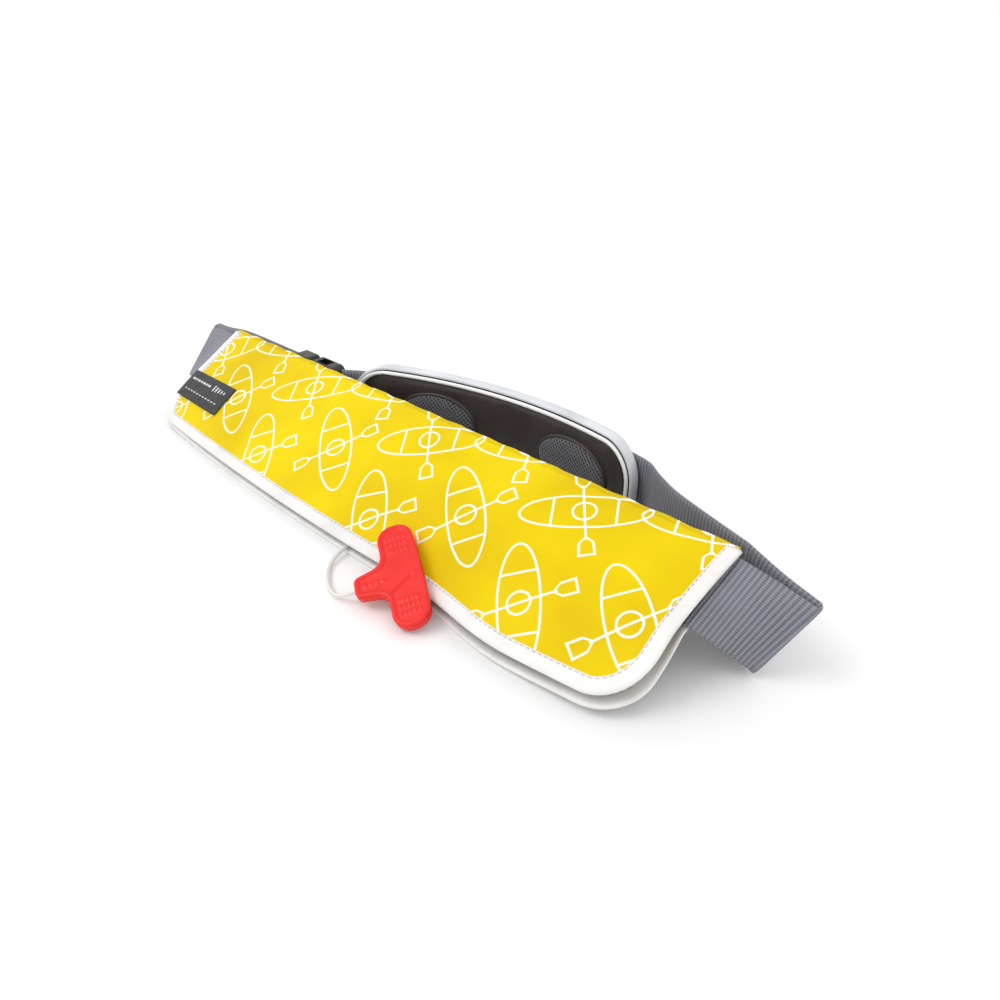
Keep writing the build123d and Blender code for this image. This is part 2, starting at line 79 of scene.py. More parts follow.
# ---------------------------------------------------------------- material tools
class Shade:
    """One material's node tree, with short calls for its nodes."""

    def __init__(self, name, colour, rough, **sockets):
        self.material = bpy.data.materials.new(name)
        self.material.use_nodes = True
        self.tree = self.material.node_tree
        self.shader = self.tree.nodes["Principled BSDF"]
        self.shader.inputs["Base Color"].default_value = (*colour, 1)
        self.shader.inputs["Roughness"].default_value = rough
        for key, value in sockets.items():
            self.shader.inputs[key.replace("_", " ")].default_value = value
        self.bump_into = None

    def put(self, socket, value):
        """Link or set a socket, with a colour given as three numbers."""
        if isinstance(value, bpy.types.NodeSocket):
            self.tree.links.new(value, socket)
        elif hasattr(socket.default_value, "__len__") and len(value) == 3 and len(socket.default_value) == 4:
            socket.default_value = (*value, 1)
        else:
            socket.default_value = value

    def node(self, kind, out=0, **inputs):
        made = self.tree.nodes.new(kind)
        for key, value in inputs.items():
            self.put(made.inputs[key], value)
        return made.outputs[out]

    def calc(self, operation, *values):
        made = self.tree.nodes.new("ShaderNodeMath")
        made.operation = operation
        for socket, value in zip(made.inputs, values):
            self.put(socket, value)
        return made.outputs[0]

    def add(self, a, b):
        return self.calc("ADD", a, b)

    def sub(self, a, b):
        return self.calc("SUBTRACT", a, b)

    def mul(self, a, b):
        return self.calc("MULTIPLY", a, b)

    def div(self, a, b):
        return self.calc("DIVIDE", a, b)

    def abs(self, a):
        return self.calc("ABSOLUTE", a)

    def coords(self, kind):
        return self.node("ShaderNodeTexCoord", out=kind)

    def split(self, vector):
        made = self.tree.nodes.new("ShaderNodeSeparateXYZ")
        self.tree.links.new(vector, made.inputs[0])
        return made.outputs

    def noise(self, vector, scale, detail=3.0, rough=0.5):
        return self.node("ShaderNodeTexNoise", Vector=vector, Scale=scale, Detail=detail, Roughness=rough)

    def ramp(self, value, low, high, to_low=0.0, to_high=1.0):
        made = self.tree.nodes.new("ShaderNodeMapRange")
        for socket, given in zip(made.inputs, (value, low, high, to_low, to_high)):
            self.put(socket, given)
        return made.outputs[0]

    def mix(self, share, a, b):
        made = self.tree.nodes.new("ShaderNodeMix")
        made.data_type = "RGBA"
        self.put(made.inputs[0], share)
        self.put(made.inputs[6], a)
        self.put(made.inputs[7], b)
        return made.outputs[2]

    def colour(self, value):
        self.tree.links.new(value, self.shader.inputs["Base Color"])

    def rough(self, value):
        self.tree.links.new(value, self.shader.inputs["Roughness"])

    def bump(self, height, strength, distance):
        made = self.tree.nodes.new("ShaderNodeBump")
        made.inputs["Strength"].default_value = strength
        made.inputs["Distance"].default_value = distance
        self.tree.links.new(height, made.inputs["Height"])
        if self.bump_into is not None:
            self.tree.links.new(self.bump_into, made.inputs["Normal"])
        self.bump_into = made.outputs[0]
        self.tree.links.new(self.bump_into, self.shader.inputs["Normal"])

    def ripple(self, value, period):
        """Sine of a length, from 0 to 1, once each period."""
        turned = self.calc("SINE", self.mul(value, 2 * math.pi / period))
        return self.calc("MULTIPLY_ADD", turned, 0.5, 0.5)

    def weave(self, a, b, period):
        """Plain weave height from two lengths along the cloth."""
        over = self.calc("SINE", self.mul(a, math.pi / period))
        under = self.calc("SINE", self.mul(b, math.pi / period))
        return self.calc("MULTIPLY_ADD", self.mul(over, under), 0.5, 0.5)


def cloth_lengths(s):
    """Millimetres along and across a piece of cloth, from its UV map, which holds decimetres."""
    u, v, _ = s.split(s.coords("UV"))
    return s.mul(u, 100.0), s.mul(v, 100.0)


# ---------------------------------------------------------------- materials
YELLOW = (0.81, 0.62, 0.0)
YELLOW_DEEP = (0.68, 0.485, 0.0)
PRINT_WHITE = (0.93, 0.90, 0.80)
PRINT_PERIOD = 125.0
PRINT_LINE = 0.62
PRINT_SOFT = 0.2
# Across the pouch, down from the fold, and turn of each row of the print
PRINT_ROWS = ((26.0, 20.0, -31.0), (89.0, 54.0, 44.0), (31.0, 85.0, 52.0), (89.0, -7.0, -20.0))
# The second row steps towards the fold past this place, by this much
STEP_ROW = 1
STEP_AT = 183.0
STEP_BY = 14.0
# One motif: hull half length and half width, deck lines, cockpit radius, paddle turn and half length
HULL_LONG = 37.0
HULL_WIDE = 12.0
DECK_AT = 18.0
COCKPIT = 6.6
PADDLE_TURN = 82
PADDLE_HALF = 20.5


def motif_distance(s, x, y):
    """Distance to the lines of one kayak with its paddle, lengths in millimetres."""
    def length(a, b):
        return s.calc("SQRT", s.add(s.mul(a, a), s.mul(b, b)))
    scaled = length(s.div(x, HULL_LONG), s.div(y, HULL_WIDE))
    slope = length(s.div(x, HULL_LONG ** 2), s.div(y, HULL_WIDE ** 2))
    past = s.mul(scaled, s.sub(scaled, 1.0))
    hull = s.div(past, s.calc("MAXIMUM", slope, 0.0001))
    across = s.abs(x)
    deck = s.calc("MAXIMUM", s.abs(s.sub(across, DECK_AT)), hull)
    ring = s.abs(s.sub(length(x, y), COCKPIT))
    turn = math.radians(PADDLE_TURN)
    px = s.add(s.mul(x, math.cos(turn)), s.mul(y, math.sin(turn)))
    py = s.sub(s.mul(y, math.cos(turn)), s.mul(x, math.sin(turn)))
    reach, side = s.abs(px), s.abs(py)
    shaft = s.calc("MAXIMUM", side, s.sub(reach, PADDLE_HALF))
    narrow, broad = s.calc("MULTIPLY_ADD", reach, 0.9, -17.2), s.calc("MULTIPLY_ADD", reach, 0.06, 2.4)
    taper = s.sub(side, s.calc("MINIMUM", narrow, broad))
    ends = s.sub(s.abs(s.sub(reach, 25.8)), 5.8)
    blade = s.abs(s.calc("MAXIMUM", ends, taper))
    nearest = s.abs(hull)
    for other in (deck, ring, shaft, blade):
        nearest = s.calc("MINIMUM", nearest, other)
    return nearest


def print_fabric(name="print_fabric", light=YELLOW, deep=YELLOW_DEEP):
    s = Shade(name, light, 0.55, Specular_IOR_Level=0.1)
    x, down = cloth_lengths(s)
    stepped = s.sub(down, s.mul(s.calc("GREATER_THAN", x, STEP_AT), STEP_BY))
    lines = None
    for k, (x0, v0, turn) in enumerate(PRINT_ROWS):
        lx = s.calc("WRAP", s.sub(x, x0), PRINT_PERIOD / 2, -PRINT_PERIOD / 2)
        ly = s.sub(stepped if k == STEP_ROW else down, v0)
        c, n = math.cos(math.radians(turn)), math.sin(math.radians(turn))
        along = s.add(s.mul(lx, c), s.mul(ly, n))
        across = s.sub(s.mul(ly, c), s.mul(lx, n))
        row = motif_distance(s, along, across)
        lines = row if lines is None else s.calc("MINIMUM", lines, row)
    mask = s.ramp(lines, PRINT_LINE - PRINT_SOFT, PRINT_LINE + PRINT_SOFT, 1.0, 0.0)
    where = s.coords("Object")
    tone = s.mix(s.ramp(s.noise(where, 14.0), 0.35, 0.7), light, deep)
    s.colour(s.mix(mask, tone, PRINT_WHITE))
    s.bump(s.weave(x, down, 0.7), 0.12, 0.0002)
    s.bump(s.noise(where, 60.0, 4.0), 0.22, 0.0009)
    s.bump(s.noise(where, 17.0, 3.0), 0.35, 0.006)
    return s.material


def binding_tape(name="binding_tape", colour=(0.8, 0.785, 0.765)):
    s = Shade(name, colour, 0.42, Sheen_Weight=0.2, Sheen_Roughness=0.3, Specular_IOR_Level=0.4)
    along, across = cloth_lengths(s)
    where = s.coords("Object")
    darker = tuple(c * 0.88 for c in colour)
    s.colour(s.mix(s.ramp(s.noise(where, 45.0), 0.4, 0.75), colour, darker))
    s.bump(s.ripple(s.add(along, s.mul(across, 0.35)), 0.9), 0.12, 0.0002)
    s.bump(s.noise(where, 90.0, 3.0), 0.12, 0.0008)
    return s.material


def webbing(name="webbing", colour=(0.19, 0.192, 0.225), period=2.6):
    s = Shade(name, colour, 0.55, Sheen_Weight=0.35, Sheen_Roughness=0.35, Specular_IOR_Level=0.45)
    across, along = cloth_lengths(s)
    rib = s.ripple(along, period)
    shifted = s.add(across, s.mul(s.abs(s.sub(rib, 0.5)), 1.2))
    pick = s.ripple(shifted, 1.5)
    height = s.add(s.mul(rib, 0.7), s.mul(pick, 0.5))
    # Weave hollows are painted darker and crests lighter, following the bump height: painted shade and painted
    # highlight. The noise mix below lightens the strap at random.
    dark = tuple(c * 0.45 for c in colour)
    light = tuple(min(1, c * 1.5) for c in colour)
    shade = s.mix(s.ramp(height, 0.15, 0.65), dark, colour)
    shade = s.mix(s.ramp(height, 0.75, 1.15), shade, light)
    s.colour(s.mix(s.ramp(s.noise(s.coords("Object"), 30.0), 0.35, 0.8, 0.0, 0.35), shade, light))
    s.bump(height, 0.5, 0.0006)
    return s.material


def coated_fabric(name, colour, rough=0.5, period=0.8):
    s = Shade(name, colour, rough, Sheen_Weight=0.2, Sheen_Roughness=0.4)
    x, y, z = s.split(s.coords("Object"))
    a = s.mul(s.add(x, s.mul(z, 0.5)), 1000.0)
    b = s.mul(s.add(y, s.mul(z, 0.87)), 1000.0)
    lighter = tuple(min(1, c * 1.35 + 0.008) for c in colour)
    s.colour(s.mix(s.ramp(s.noise(s.coords("Object"), 35.0, 5.0), 0.3, 0.75), colour, lighter))
    s.bump(s.weave(a, b, period), 0.25, 0.0003)
    s.bump(s.noise(s.coords("Object"), 80.0, 4.0), 0.25, 0.001)
    return s.material


def mesh_fabric():
    s = Shade("mesh_fabric", (0.035, 0.036, 0.04), 0.6, Sheen_Weight=0.5, Sheen_Roughness=0.35)
    x, _, z = s.split(s.coords("Object"))
    a = s.mul(s.add(x, z), 1000.0)
    b = s.mul(s.sub(x, z), 1000.0)
    net = s.calc("MAXIMUM", s.ripple(a, 3.2), s.ripple(b, 3.2))
    hole = s.ramp(net, 0.45, 0.8)
    # The net's openings are painted near black: partly the dark layer under the net, partly painted shade in the
    # recessed openings
    s.colour(s.mix(hole, (0.006, 0.006, 0.007), (0.13, 0.132, 0.145)))
    s.bump(hole, 0.7, 0.0008)
    return s.material


def moulded(name, colour, rough=0.38, grain=500.0, coat=0.0):
    s = Shade(name, colour, rough, Coat_Weight=coat, Coat_Roughness=0.15, Specular_IOR_Level=0.5)
    where = s.coords("Object")
    darker = tuple(c * 0.82 for c in colour)
    s.colour(s.mix(s.ramp(s.noise(where, 60.0), 0.35, 0.7), colour, darker))
    s.rough(s.ramp(s.noise(where, 120.0, 4.0), 0.3, 0.7, rough - 0.07, rough + 0.1))
    s.bump(s.noise(where, grain, 4.0), 0.12, 0.0003)
    return s.material


def metal(name, colour, rough=0.3):
    s = Shade(name, colour, rough, Metallic=1.0)
    where = s.coords("Object")
    s.rough(s.ramp(s.noise(where, 200.0, 5.0), 0.3, 0.7, rough - 0.08, rough + 0.15))
    s.bump(s.noise(where, 350.0, 4.0), 0.08, 0.0002)
    return s.material


def pile(name, colour):
    s = Shade(name, colour, 0.8, Sheen_Weight=0.5)
    where = s.coords("Object")
    fuzz = s.node("ShaderNodeTexVoronoi", Vector=where, Scale=900.0)
    s.colour(s.mix(s.ramp(fuzz, 0.1, 0.6), colour, tuple(c * 0.4 for c in colour)))
    s.bump(fuzz, 0.8, 0.0008)
    return s.material


def braid():
    s = Shade("cord_white", (0.78, 0.77, 0.73), 0.6, Sheen_Weight=0.3)
    u, v, _ = s.split(s.coords("UV"))
    a = s.add(s.mul(u, 60.0), s.mul(v, 4.0))
    b = s.sub(s.mul(u, 60.0), s.mul(v, 4.0))
    twill = s.weave(a, b, 1.0)
    # Twill hollows are painted darker and crests lighter, following the bump height: painted shade and painted
    # highlight
    s.colour(s.mix(s.ramp(twill, 0.2, 0.7), (0.55, 0.54, 0.5), (0.82, 0.81, 0.78)))
    s.bump(twill, 0.5, 0.0004)
    return s.material


# ---------------------------------------------------------------- mesh tools
def build(name, points, faces, uv=None, material=None, smooth=True):
    """Mesh object from row-frame points in metres, with one UV pair a vertex."""
    mesh = bpy.data.meshes.new(name)
    mesh.from_pydata([tuple(p) for p in points], [], faces)
    mesh.update()
    if uv is not None:
        layer = mesh.uv_layers.new(name="UVMap")
        loops = np.zeros(len(mesh.loops), np.int64)
        mesh.loops.foreach_get("vertex_index", loops)
        layer.data.foreach_set("uv", np.asarray(uv, np.float32)[loops].reshape(-1))
    mesh.polygons.foreach_set("use_smooth", [smooth] * len(mesh.polygons))
    made = bpy.data.objects.new(name, mesh)
    bpy.context.scene.collection.objects.link(made)
    if material:
        mesh.materials.append(material)
    return made


def grid_faces(rows, columns, wrap_rows=False, wrap_columns=False, start=0):
    faces = []
    for i in range(rows if wrap_rows else rows - 1):
        for j in range(columns if wrap_columns else columns - 1):
            a, b = i * columns, ((i + 1) % rows) * columns
            k = (j + 1) % columns
            faces.append((start + a + j, start + a + k, start + b + k, start + b + j))
    return faces


def cross_cap(first, count):
    """Strips across a long thin ring of points that starts at one of its far ends."""
    half = count // 2
    faces = [(first, first + 1, first + count - 1), (first + half - 1, first + half, first + half + 1)]
    for i in range(1, half - 1):
        faces.append((first + i, first + i + 1, first + count - i - 1, first + count - i))
    return faces


def tube(name, rings, uv=None, material=None, closed=False, smooth=True, cross=False):
    """Skin over closed rings of points, with flat ends unless it runs round to its start."""
    rows, columns = rings.shape[:2]
    faces = grid_faces(rows, columns, wrap_rows=closed, wrap_columns=True)
    if cross:
        faces += cross_cap(0, columns) + cross_cap((rows - 1) * columns, columns)
    elif not closed:
        faces.append(tuple(range(columns))[::-1])
        faces.append(tuple(range((rows - 1) * columns, rows * columns)))
    flat_uv = None if uv is None else uv.reshape(-1, 2)
    return build(name, place(rings.reshape(-1, 3)), faces, flat_uv, material, smooth)


def skin(name, rings, material, uv=None, **options):
    """A tube with its faces turned outwards."""
    rows = None if uv is None else np.array(uv)
    return finish_normals(tube(name, np.array(rings), rows, material, **options))


def finish_normals(piece):
    """Face normals outwards."""
    work = bmesh.new()
    work.from_mesh(piece.data)
    bmesh.ops.recalc_face_normals(work, faces=work.faces)
    work.to_mesh(piece.data)
    work.free()
    return piece


def run_lengths(points):
    """Length along a line of points, at each point."""
    return np.concatenate([[0], np.cumsum(np.linalg.norm(np.diff(points, axis=0), axis=1))])


def spline(points, count):
    """Even points on a Catmull-Rom curve through rows of numbers."""
    p = np.asarray(points, float)
    flat = p.reshape(len(p), -1)
    ends = np.vstack([2 * flat[0] - flat[1], flat, 2 * flat[-1] - flat[-2]])
    fine = []
    for i in range(1, len(ends) - 2):
        a, b, c, d = ends[i - 1:i + 3]
        for t in np.linspace(0, 1, 24, endpoint=False):
            fine.append(0.5 * (2 * b + (c - a) * t + (2 * a - 5 * b + 4 * c - d) * t ** 2
                               + (3 * b - a - 3 * c + d) * t ** 3))
    fine.append(ends[-2])
    fine = np.array(fine)
    gone = run_lengths(fine)
    even = np.linspace(0, gone[-1], count)
    made = np.stack([np.interp(even, gone, fine[:, k]) for k in range(flat.shape[1])], 1)
    return made.reshape(count, *p.shape[1:])


def back_and_forth(x, downs):
    """UV pairs of a ring that runs down a sheet's face and back up its other side, in decimetres."""
    row = [(x / 100, d / 100) for d in downs]
    return row + row[::-1]


def unit(v):
    return v / np.maximum(np.linalg.norm(v, axis=-1, keepdims=True), 1e-9)


def wobble(x, y, scale, seed=0.0):
    """Smooth noise from -1 to 1 at millimetre places."""
    return noise.noise(Vector((x / scale, y / scale, seed)))


# ---------------------------------------------------------------- shapes of the CAD model, in millimetres
POUCH_HALF = 235.0
FOLD_Y = 45.0
LIP_END_Y = -38.0
LIP_MID_Y = -49.0
CORNER_RADIUS = 25.0
BINDING_WIDTH = 9.0
LIP_SLANT = 0.87
FLAP_PAST_LIP = 3
FLAT_HALF = 130.0
LIP_DROP = 13.0
LIP_DROP_SPAN = (72.0, 168.0)
LIP_DROP_SHARES = ((-3, 0.35), (-2, 0.7), (-1, 1.0))
FLAP_FRACTIONS = (0.0, 0.16, 0.32, 0.48, 0.62, 0.74, 0.84, 0.92, 1.0)
FLAP_LEFT_Z = (54.0, 46.0, 38.0, 30.4, 23.0, 16.3, 11.3, 8.1, 6.2)
FLAP_MID_Z = (54.0, 50.3, 43.8, 35.6, 27.8, 20.9, 14.6, 9.9, 6.2)
FLAP_RIGHT_Z = (54.0, 51.4, 48.4, 44.6, 39.5, 31.3, 24.0, 18.6, 14.0)
BACK_LEFT = ((43.5, 45.6), (29.0, 37.1), (14.0, 28.3), (-1.0, 19.4), (-4.0, 17.2),
             (-13.0, 12.0), (-24.0, 6.4), (-32.0, 4.2), (-41.0, 2.6))
BACK_MID = ((43.0, 51.0), (40.4, 35.0), (37.7, 18.0), (36.2, 3.0), (35.2, 0.8),
            (5.0, 0.8), (-25.0, 0.8), (-42.0, 0.8), (-54.0, 1.2))
BACK_RIGHT = ((43.5, 47.0), (28.0, 42.6), (11.0, 37.8), (-6.0, 32.6), (-9.0, 30.0),
              (-18.0, 22.0), (-27.0, 14.0), (-33.0, 10.0), (-41.0, 6.5))
WEB_LEFT = ((43.0, 49.4), (0.5, 24.2))
WEB_MID = ((40.5, 50.0), (32.5, 2.9))
WEB_RIGHT = ((43.0, 50.6), (-4.5, 37.4))


def lip_drop(x):
    start, end = LIP_DROP_SPAN
    share = min(max((x - start) / (end - start), 0.0), 1.0)
    return LIP_DROP * share * share * (3 - 2 * share)


def lip_line(x):
    return LIP_MID_Y + (LIP_END_Y - LIP_MID_Y) * (x / POUCH_HALF) ** 2 - lip_drop(x)


def flap_curve(x):
    """Smooth flap section at x as points (y, z) from the fold to just past the lip."""
    share = (x / POUCH_HALF) ** 2
    end = FLAP_RIGHT_Z if x > 0 else FLAP_LEFT_Z
    points = []
    for fraction, mid_z, end_z in zip(FLAP_FRACTIONS, FLAP_MID_Z, end):
        reach = lip_line(x) - FLAP_PAST_LIP - FOLD_Y
        points.append((FOLD_Y + reach * fraction, mid_z + (end_z - mid_z) * share))
    return spline(points, 60)


def end_share(x):
    return (max(abs(x) - FLAT_HALF, 0.0) / (POUCH_HALF - FLAT_HALF)) ** 1.5


def back_curve(x):
    """Smooth back panel section at x, from the fold down and forward to the lip."""
    end = BACK_RIGHT if x > 0 else BACK_LEFT
    share = end_share(x)
    points = [(a[0] + (b[0] - a[0]) * share, a[1] + (b[1] - a[1]) * share) for a, b in zip(BACK_MID, end)]
    for k, part in LIP_DROP_SHARES:
        points[k] = (points[k][0] - lip_drop(x) * part, points[k][1])
    return spline(points, 90)


def outline_limit(x, inset):
    """How far forward the rounded outline reaches at x, drawn in by inset."""
    half, radius = POUCH_HALF - inset, max(CORNER_RADIUS - inset, 1.0)
    past = abs(x) - (half - radius)
    front = lip_line(x) + inset * LIP_SLANT
    if past <= 0:
        return front
    return front + radius - math.sqrt(max(radius ** 2 - past ** 2, 0.0))


class Sheet:
    """A surface given by a section curve at each x: places, normals and lengths down from its first point."""

    def __init__(self, curve):
        self.curve, self.kept = curve, {}

    def section(self, x):
        key = round(x, 3)
        if key not in self.kept:
            points = self.curve(x)
            along = np.gradient(points, axis=0)
            normal = unit(np.stack([along[:, 1], -along[:, 0]], 1))
            gone = run_lengths(points)
            self.kept[key] = (points, normal, gone)
        return self.kept[key]

    def forward(self, x, y):
        """Length down the section at which it reaches y on its way forward."""
        points, _, gone = self.section(x)
        order = len(points) - 1 - np.argmax(points[::-1, 0] >= y)
        if order >= len(points) - 1:
            return gone[-1]
        span = points[order, 0] - points[order + 1, 0]
        return gone[order] + (gone[order + 1] - gone[order]) * (points[order, 0] - y) / max(span, 1e-6)

    def spot(self, x, down, lift):
        """Point at x and length down, lifted off along the normal."""
        points, normal, gone = self.section(x)
        y, z = np.interp(down, gone, points[:, 0]), np.interp(down, gone, points[:, 1])
        ny, nz = np.interp(down, gone, normal[:, 0]), np.interp(down, gone, normal[:, 1])
        return np.array([x, y + ny * lift, z + nz * lift])


FLAP = Sheet(flap_curve)
BACK = Sheet(back_curve)


# Placed creases: height, place at the lip, lean, half width, distance of their middle from the lip, and reach
CREASES = ((-1.7, 93.16, 0.32, 3.4, 26, 13), (1.4, 101.16, 0.32, 5, 26, 14), (-1.2, -66, 0.3, 4.4, 24, 13))
RELIEF_MARGIN = 8.5
RELIEF_FADE = 9
RELIEF_LOWEST = -1.0


def clamp(value):
    return min(max(value, 0.0), 1.0)


def flap_relief(x, down, reach):
    """Height of the soft creases on the flap, in millimetres."""
    to_lip = max(reach - down, 0.0)
    inside = clamp((to_lip - RELIEF_MARGIN) / RELIEF_FADE)
    inside *= clamp((POUCH_HALF - RELIEF_MARGIN - 1 - abs(x)) / RELIEF_FADE)
    height = 1.3 * wobble(x, down * 1.4, 55, 3.1) + 0.55 * wobble(x * 1.2, down, 20, 7.7)
    pucker = math.sin(x / 5.6 + 2.0 * wobble(x, 0, 60, 1.0)) * wobble(x, 0, 42, 5.0)
    height += 2.8 * pucker * math.exp(-abs(to_lip - 15) / 15)
    for amount, start, lean, width, middle, fade in CREASES:
        off = (x - start - lean * to_lip) / width
        height += amount * math.exp(-off ** 2) * math.exp(-((to_lip - middle) / fade) ** 2)
    height = max(height * inside * min(1.0, down / 8), RELIEF_LOWEST)
    scallop = (math.sin(x / 1.75) * 0.28 + 0.5 * wobble(x, 0, 7, 2.2)) * math.exp(-(down / 4) ** 2)
    return height + scallop * min(1.0, (POUCH_HALF - abs(x)) / 8)


def flap_spot(x, down, reach, lift):
    return FLAP.spot(x, down, lift + flap_relief(x, down, reach))


def across_pouch(step, inset=2.5):
    """Stations along the pouch, closer together round the corners."""
    middle = np.arange(-208, 208.1, step)
    corner = POUCH_HALF - inset - (CORNER_RADIUS - inset) * (1 - np.sin(np.linspace(0.15, math.pi / 2, 12)))
    return np.concatenate([-corner[::-1], middle, corner])


def sheet_piece(name, sheet, stations, first, inset, lifts, rows, material, spot=None):
    """Closed shell of a sheet inside its outline, between two lifts."""
    rings, uv = [], []
    point = spot or (lambda a, b, r, lift: sheet.spot(a, b, lift))
    for x in stations:
        reach = sheet.forward(x, outline_limit(x, 0))
        end = sheet.forward(x, outline_limit(x, inset))
        downs = first + (end - first) * np.linspace(0, 1, rows) ** 0.9
        top = [point(x, d, reach, lifts[1]) for d in downs]
        under = [point(x, d, reach, lifts[0]) for d in downs[::-1]]
        rings.append(top + under)
        uv.append(back_and_forth(x, downs))
    return skin(name, rings, material, uv)


def edge_path(step=3.0):
    """Places round the open edges from the left end's fold to the right's, with outward directions."""
    half, radius = POUCH_HALF, CORNER_RADIUS
    path = []
    for side in (-1, 1):
        corner_y = lip_line(side * half) + radius
        part = [(side * half, y, side, 0.0) for y in np.arange(FOLD_Y - 0.5, corner_y + 1, -step)]
        for turn in np.linspace(0, math.pi / 2, 12):
            x = side * (half - radius + radius * math.cos(turn))
            y = corner_y - radius * math.sin(turn)
            y += (lip_line(x) - lip_line(side * half)) * math.sin(turn)
            part.append((x, y, side * math.cos(turn), -math.sin(turn)))
        if side < 0:
            path = part
            for x in np.arange(-half + radius + step, half - radius - step / 2, step):
                slope = (lip_line(x + 1) - lip_line(x - 1)) / 2
                size = math.hypot(slope, 1)
                path.append((x, lip_line(x), slope / size, -1 / size))
        else:
            path += part[::-1]
    return path


EDGE = edge_path()


def binding_piece(name, sheet, material, lifts, low_y, pucker):
    """Folded tape round a sheet's open edges."""
    top_d = (BINDING_WIDTH, 8.6, 6.8, 4.6, 2.4, 0.9, 0.0)
    top_h = (0.35, 0.85, 1.0, 1.05, 1.0, 0.8, 0.0)
    rings, uv, gone = [], [], 0.0
    before = None
    for x, y, nx, ny in EDGE:
        if before is not None:
            gone += math.dist((x, y), before)
        before = (x, y)
        ring, ring_uv = [], []
        wave = pucker * (0.3 * wobble(gone, 0, 9, 4.0) + 0.45 * wobble(gone, 0, 30, 8.0))
        outline = [(d, h * lifts[1]) for d, h in zip(top_d, top_h)]
        outline += [(d, h * lifts[0]) for d, h in list(zip(top_d, top_h))[::-1][1:]]
        for d, lift in outline:
            px, py = x - nx * d, y - ny * d * LIP_SLANT
            px = float(np.clip(px, -POUCH_HALF, POUCH_HALF))
            py = min(py, low_y)
            down = sheet.forward(px, py)
            ring.append(sheet.spot(px, down, lift + wave * (1 if lift > 0 else 0.4)))
            ring_uv.append((gone / 100, d / 100))
        rings.append(ring)
        uv.append(ring_uv)
    return skin(name, rings, material, uv)


def stitch_row(name, places, material, length=2.3, radius=0.32):
    """Row of small raised stitches: each place is a point, a direction and a normal."""
    points, faces = [], []
    for centre, along, normal in places:
        along, normal = unit(along), unit(normal)
        side = np.cross(along, normal)
        first = len(points)
        for t, size in ((-0.5, 0.35), (-0.3, 0.95), (0.3, 0.95), (0.5, 0.35)):
            for k in range(6):
                turn = k * math.pi / 3
                off = side * math.cos(turn) * radius * size + normal * math.sin(turn) * radius * size
                points.append(centre + along * t * length + off)
        faces += grid_faces(4, 6, wrap_columns=True, start=first)
        faces.append(tuple(range(first, first + 6))[::-1])
        faces.append(tuple(range(first + 18, first + 24)))
    return finish_normals(build(name, place(points), faces, None, material))


def edge_stitches(name, sheet, inset, lift, material, every=3.6, low_y=44.0):
    """Stitches along the binding's inner edge."""
    line = []
    for x, y, nx, ny in EDGE:
        px = float(np.clip(x - nx * inset, -POUCH_HALF, POUCH_HALF))
        py = min(y - ny * inset * LIP_SLANT, low_y)
        line.append(sheet.spot(px, sheet.forward(px, py), lift))
    line = np.array(line)
    gone = run_lengths(line)
    keep = np.concatenate([[True], np.diff(gone) > 1e-6])
    line, gone = line[keep], gone[keep]
    marks = np.arange(1.5, gone[-1] - 1.5, every)
    at = np.stack([np.interp(marks, gone, line[:, k]) for k in range(3)], 1)
    ahead = np.stack([np.interp(marks + 0.5, gone, line[:, k]) for k in range(3)], 1)
    places = [(p, q - p, np.array([0, -0.5, 0.86])) for p, q in zip(at, ahead)]
    return stitch_row(name, places, material)


# ---------------------------------------------------------------- webbing
def ribbon(name, stations, count, material, thick=1.9, columns=16):
    """Flat strap through pairs of edge points, its faces slightly crowned and its selvages round."""
    edges = spline(stations, count)
    upper, lower = edges[:, 0], edges[:, 1]
    middle = (upper + lower) / 2
    along = unit(np.gradient(middle, axis=0))
    across = unit(lower - upper)
    face = unit(np.cross(along, across))
    width = np.linalg.norm(lower - upper, axis=1)
    gone = run_lengths(middle)
    spread = np.linspace(-0.5, 0.5, columns)
    half = thick / 2 * (1 - 0.55 * (2 * np.abs(spread)) ** 12)
    rings, uv = [], []
    for i in range(count):
        ring, ring_uv = [], []
        for side in (1, -1):
            order = range(columns) if side > 0 else range(columns - 1, -1, -1)
            for j in order:
                ring.append(middle[i] + across[i] * spread[j] * width[i] + face[i] * side * half[j])
                ring_uv.append(((spread[j] + 0.5) * 0.5, gone[i] / 100))
        rings.append(ring)
        uv.append(ring_uv)
    return skin(name, rings, material, uv)


def web_station(x):
    end = WEB_RIGHT if x > 0 else WEB_LEFT
    share = end_share(x)
    return [(x, a[0] + (b[0] - a[0]) * share, a[1] + (b[1] - a[1]) * share) for a, b in zip(WEB_MID, end)]


def bend_stations(front, fold, back, spread):
    """Stations of a tight U of webbing over a fold line."""
    front, fold, back = (np.array(v, float) for v in (front, fold, back))
    half = (front + back) / 2
    outward, across = unit(fold - half), unit(back - front)
    stations = [front, (front + fold) / 2]
    for turn in np.linspace(-90, 90, 7):
        angle = math.radians(turn)
        stations.append(fold + outward * spread * (math.cos(angle) - 1) + across * spread * math.sin(angle))
    return np.array(stations + [(back + fold) / 2, back])


# ---------------------------------------------------------------- pull cord
CORD_POINTS = ((0.0196, -0.04167, 0.0045), (0.0188, -0.05927, 0.0045), (0.0196, -0.07627, 0.0045),
               (0.0248, -0.09127, 0.0016), (0.0418, -0.10327, 0.0016), (0.0564, -0.10587, 0.0034),
               (0.06377, -0.09946, 0.00904))
CORD_WIDTH = 0.0026


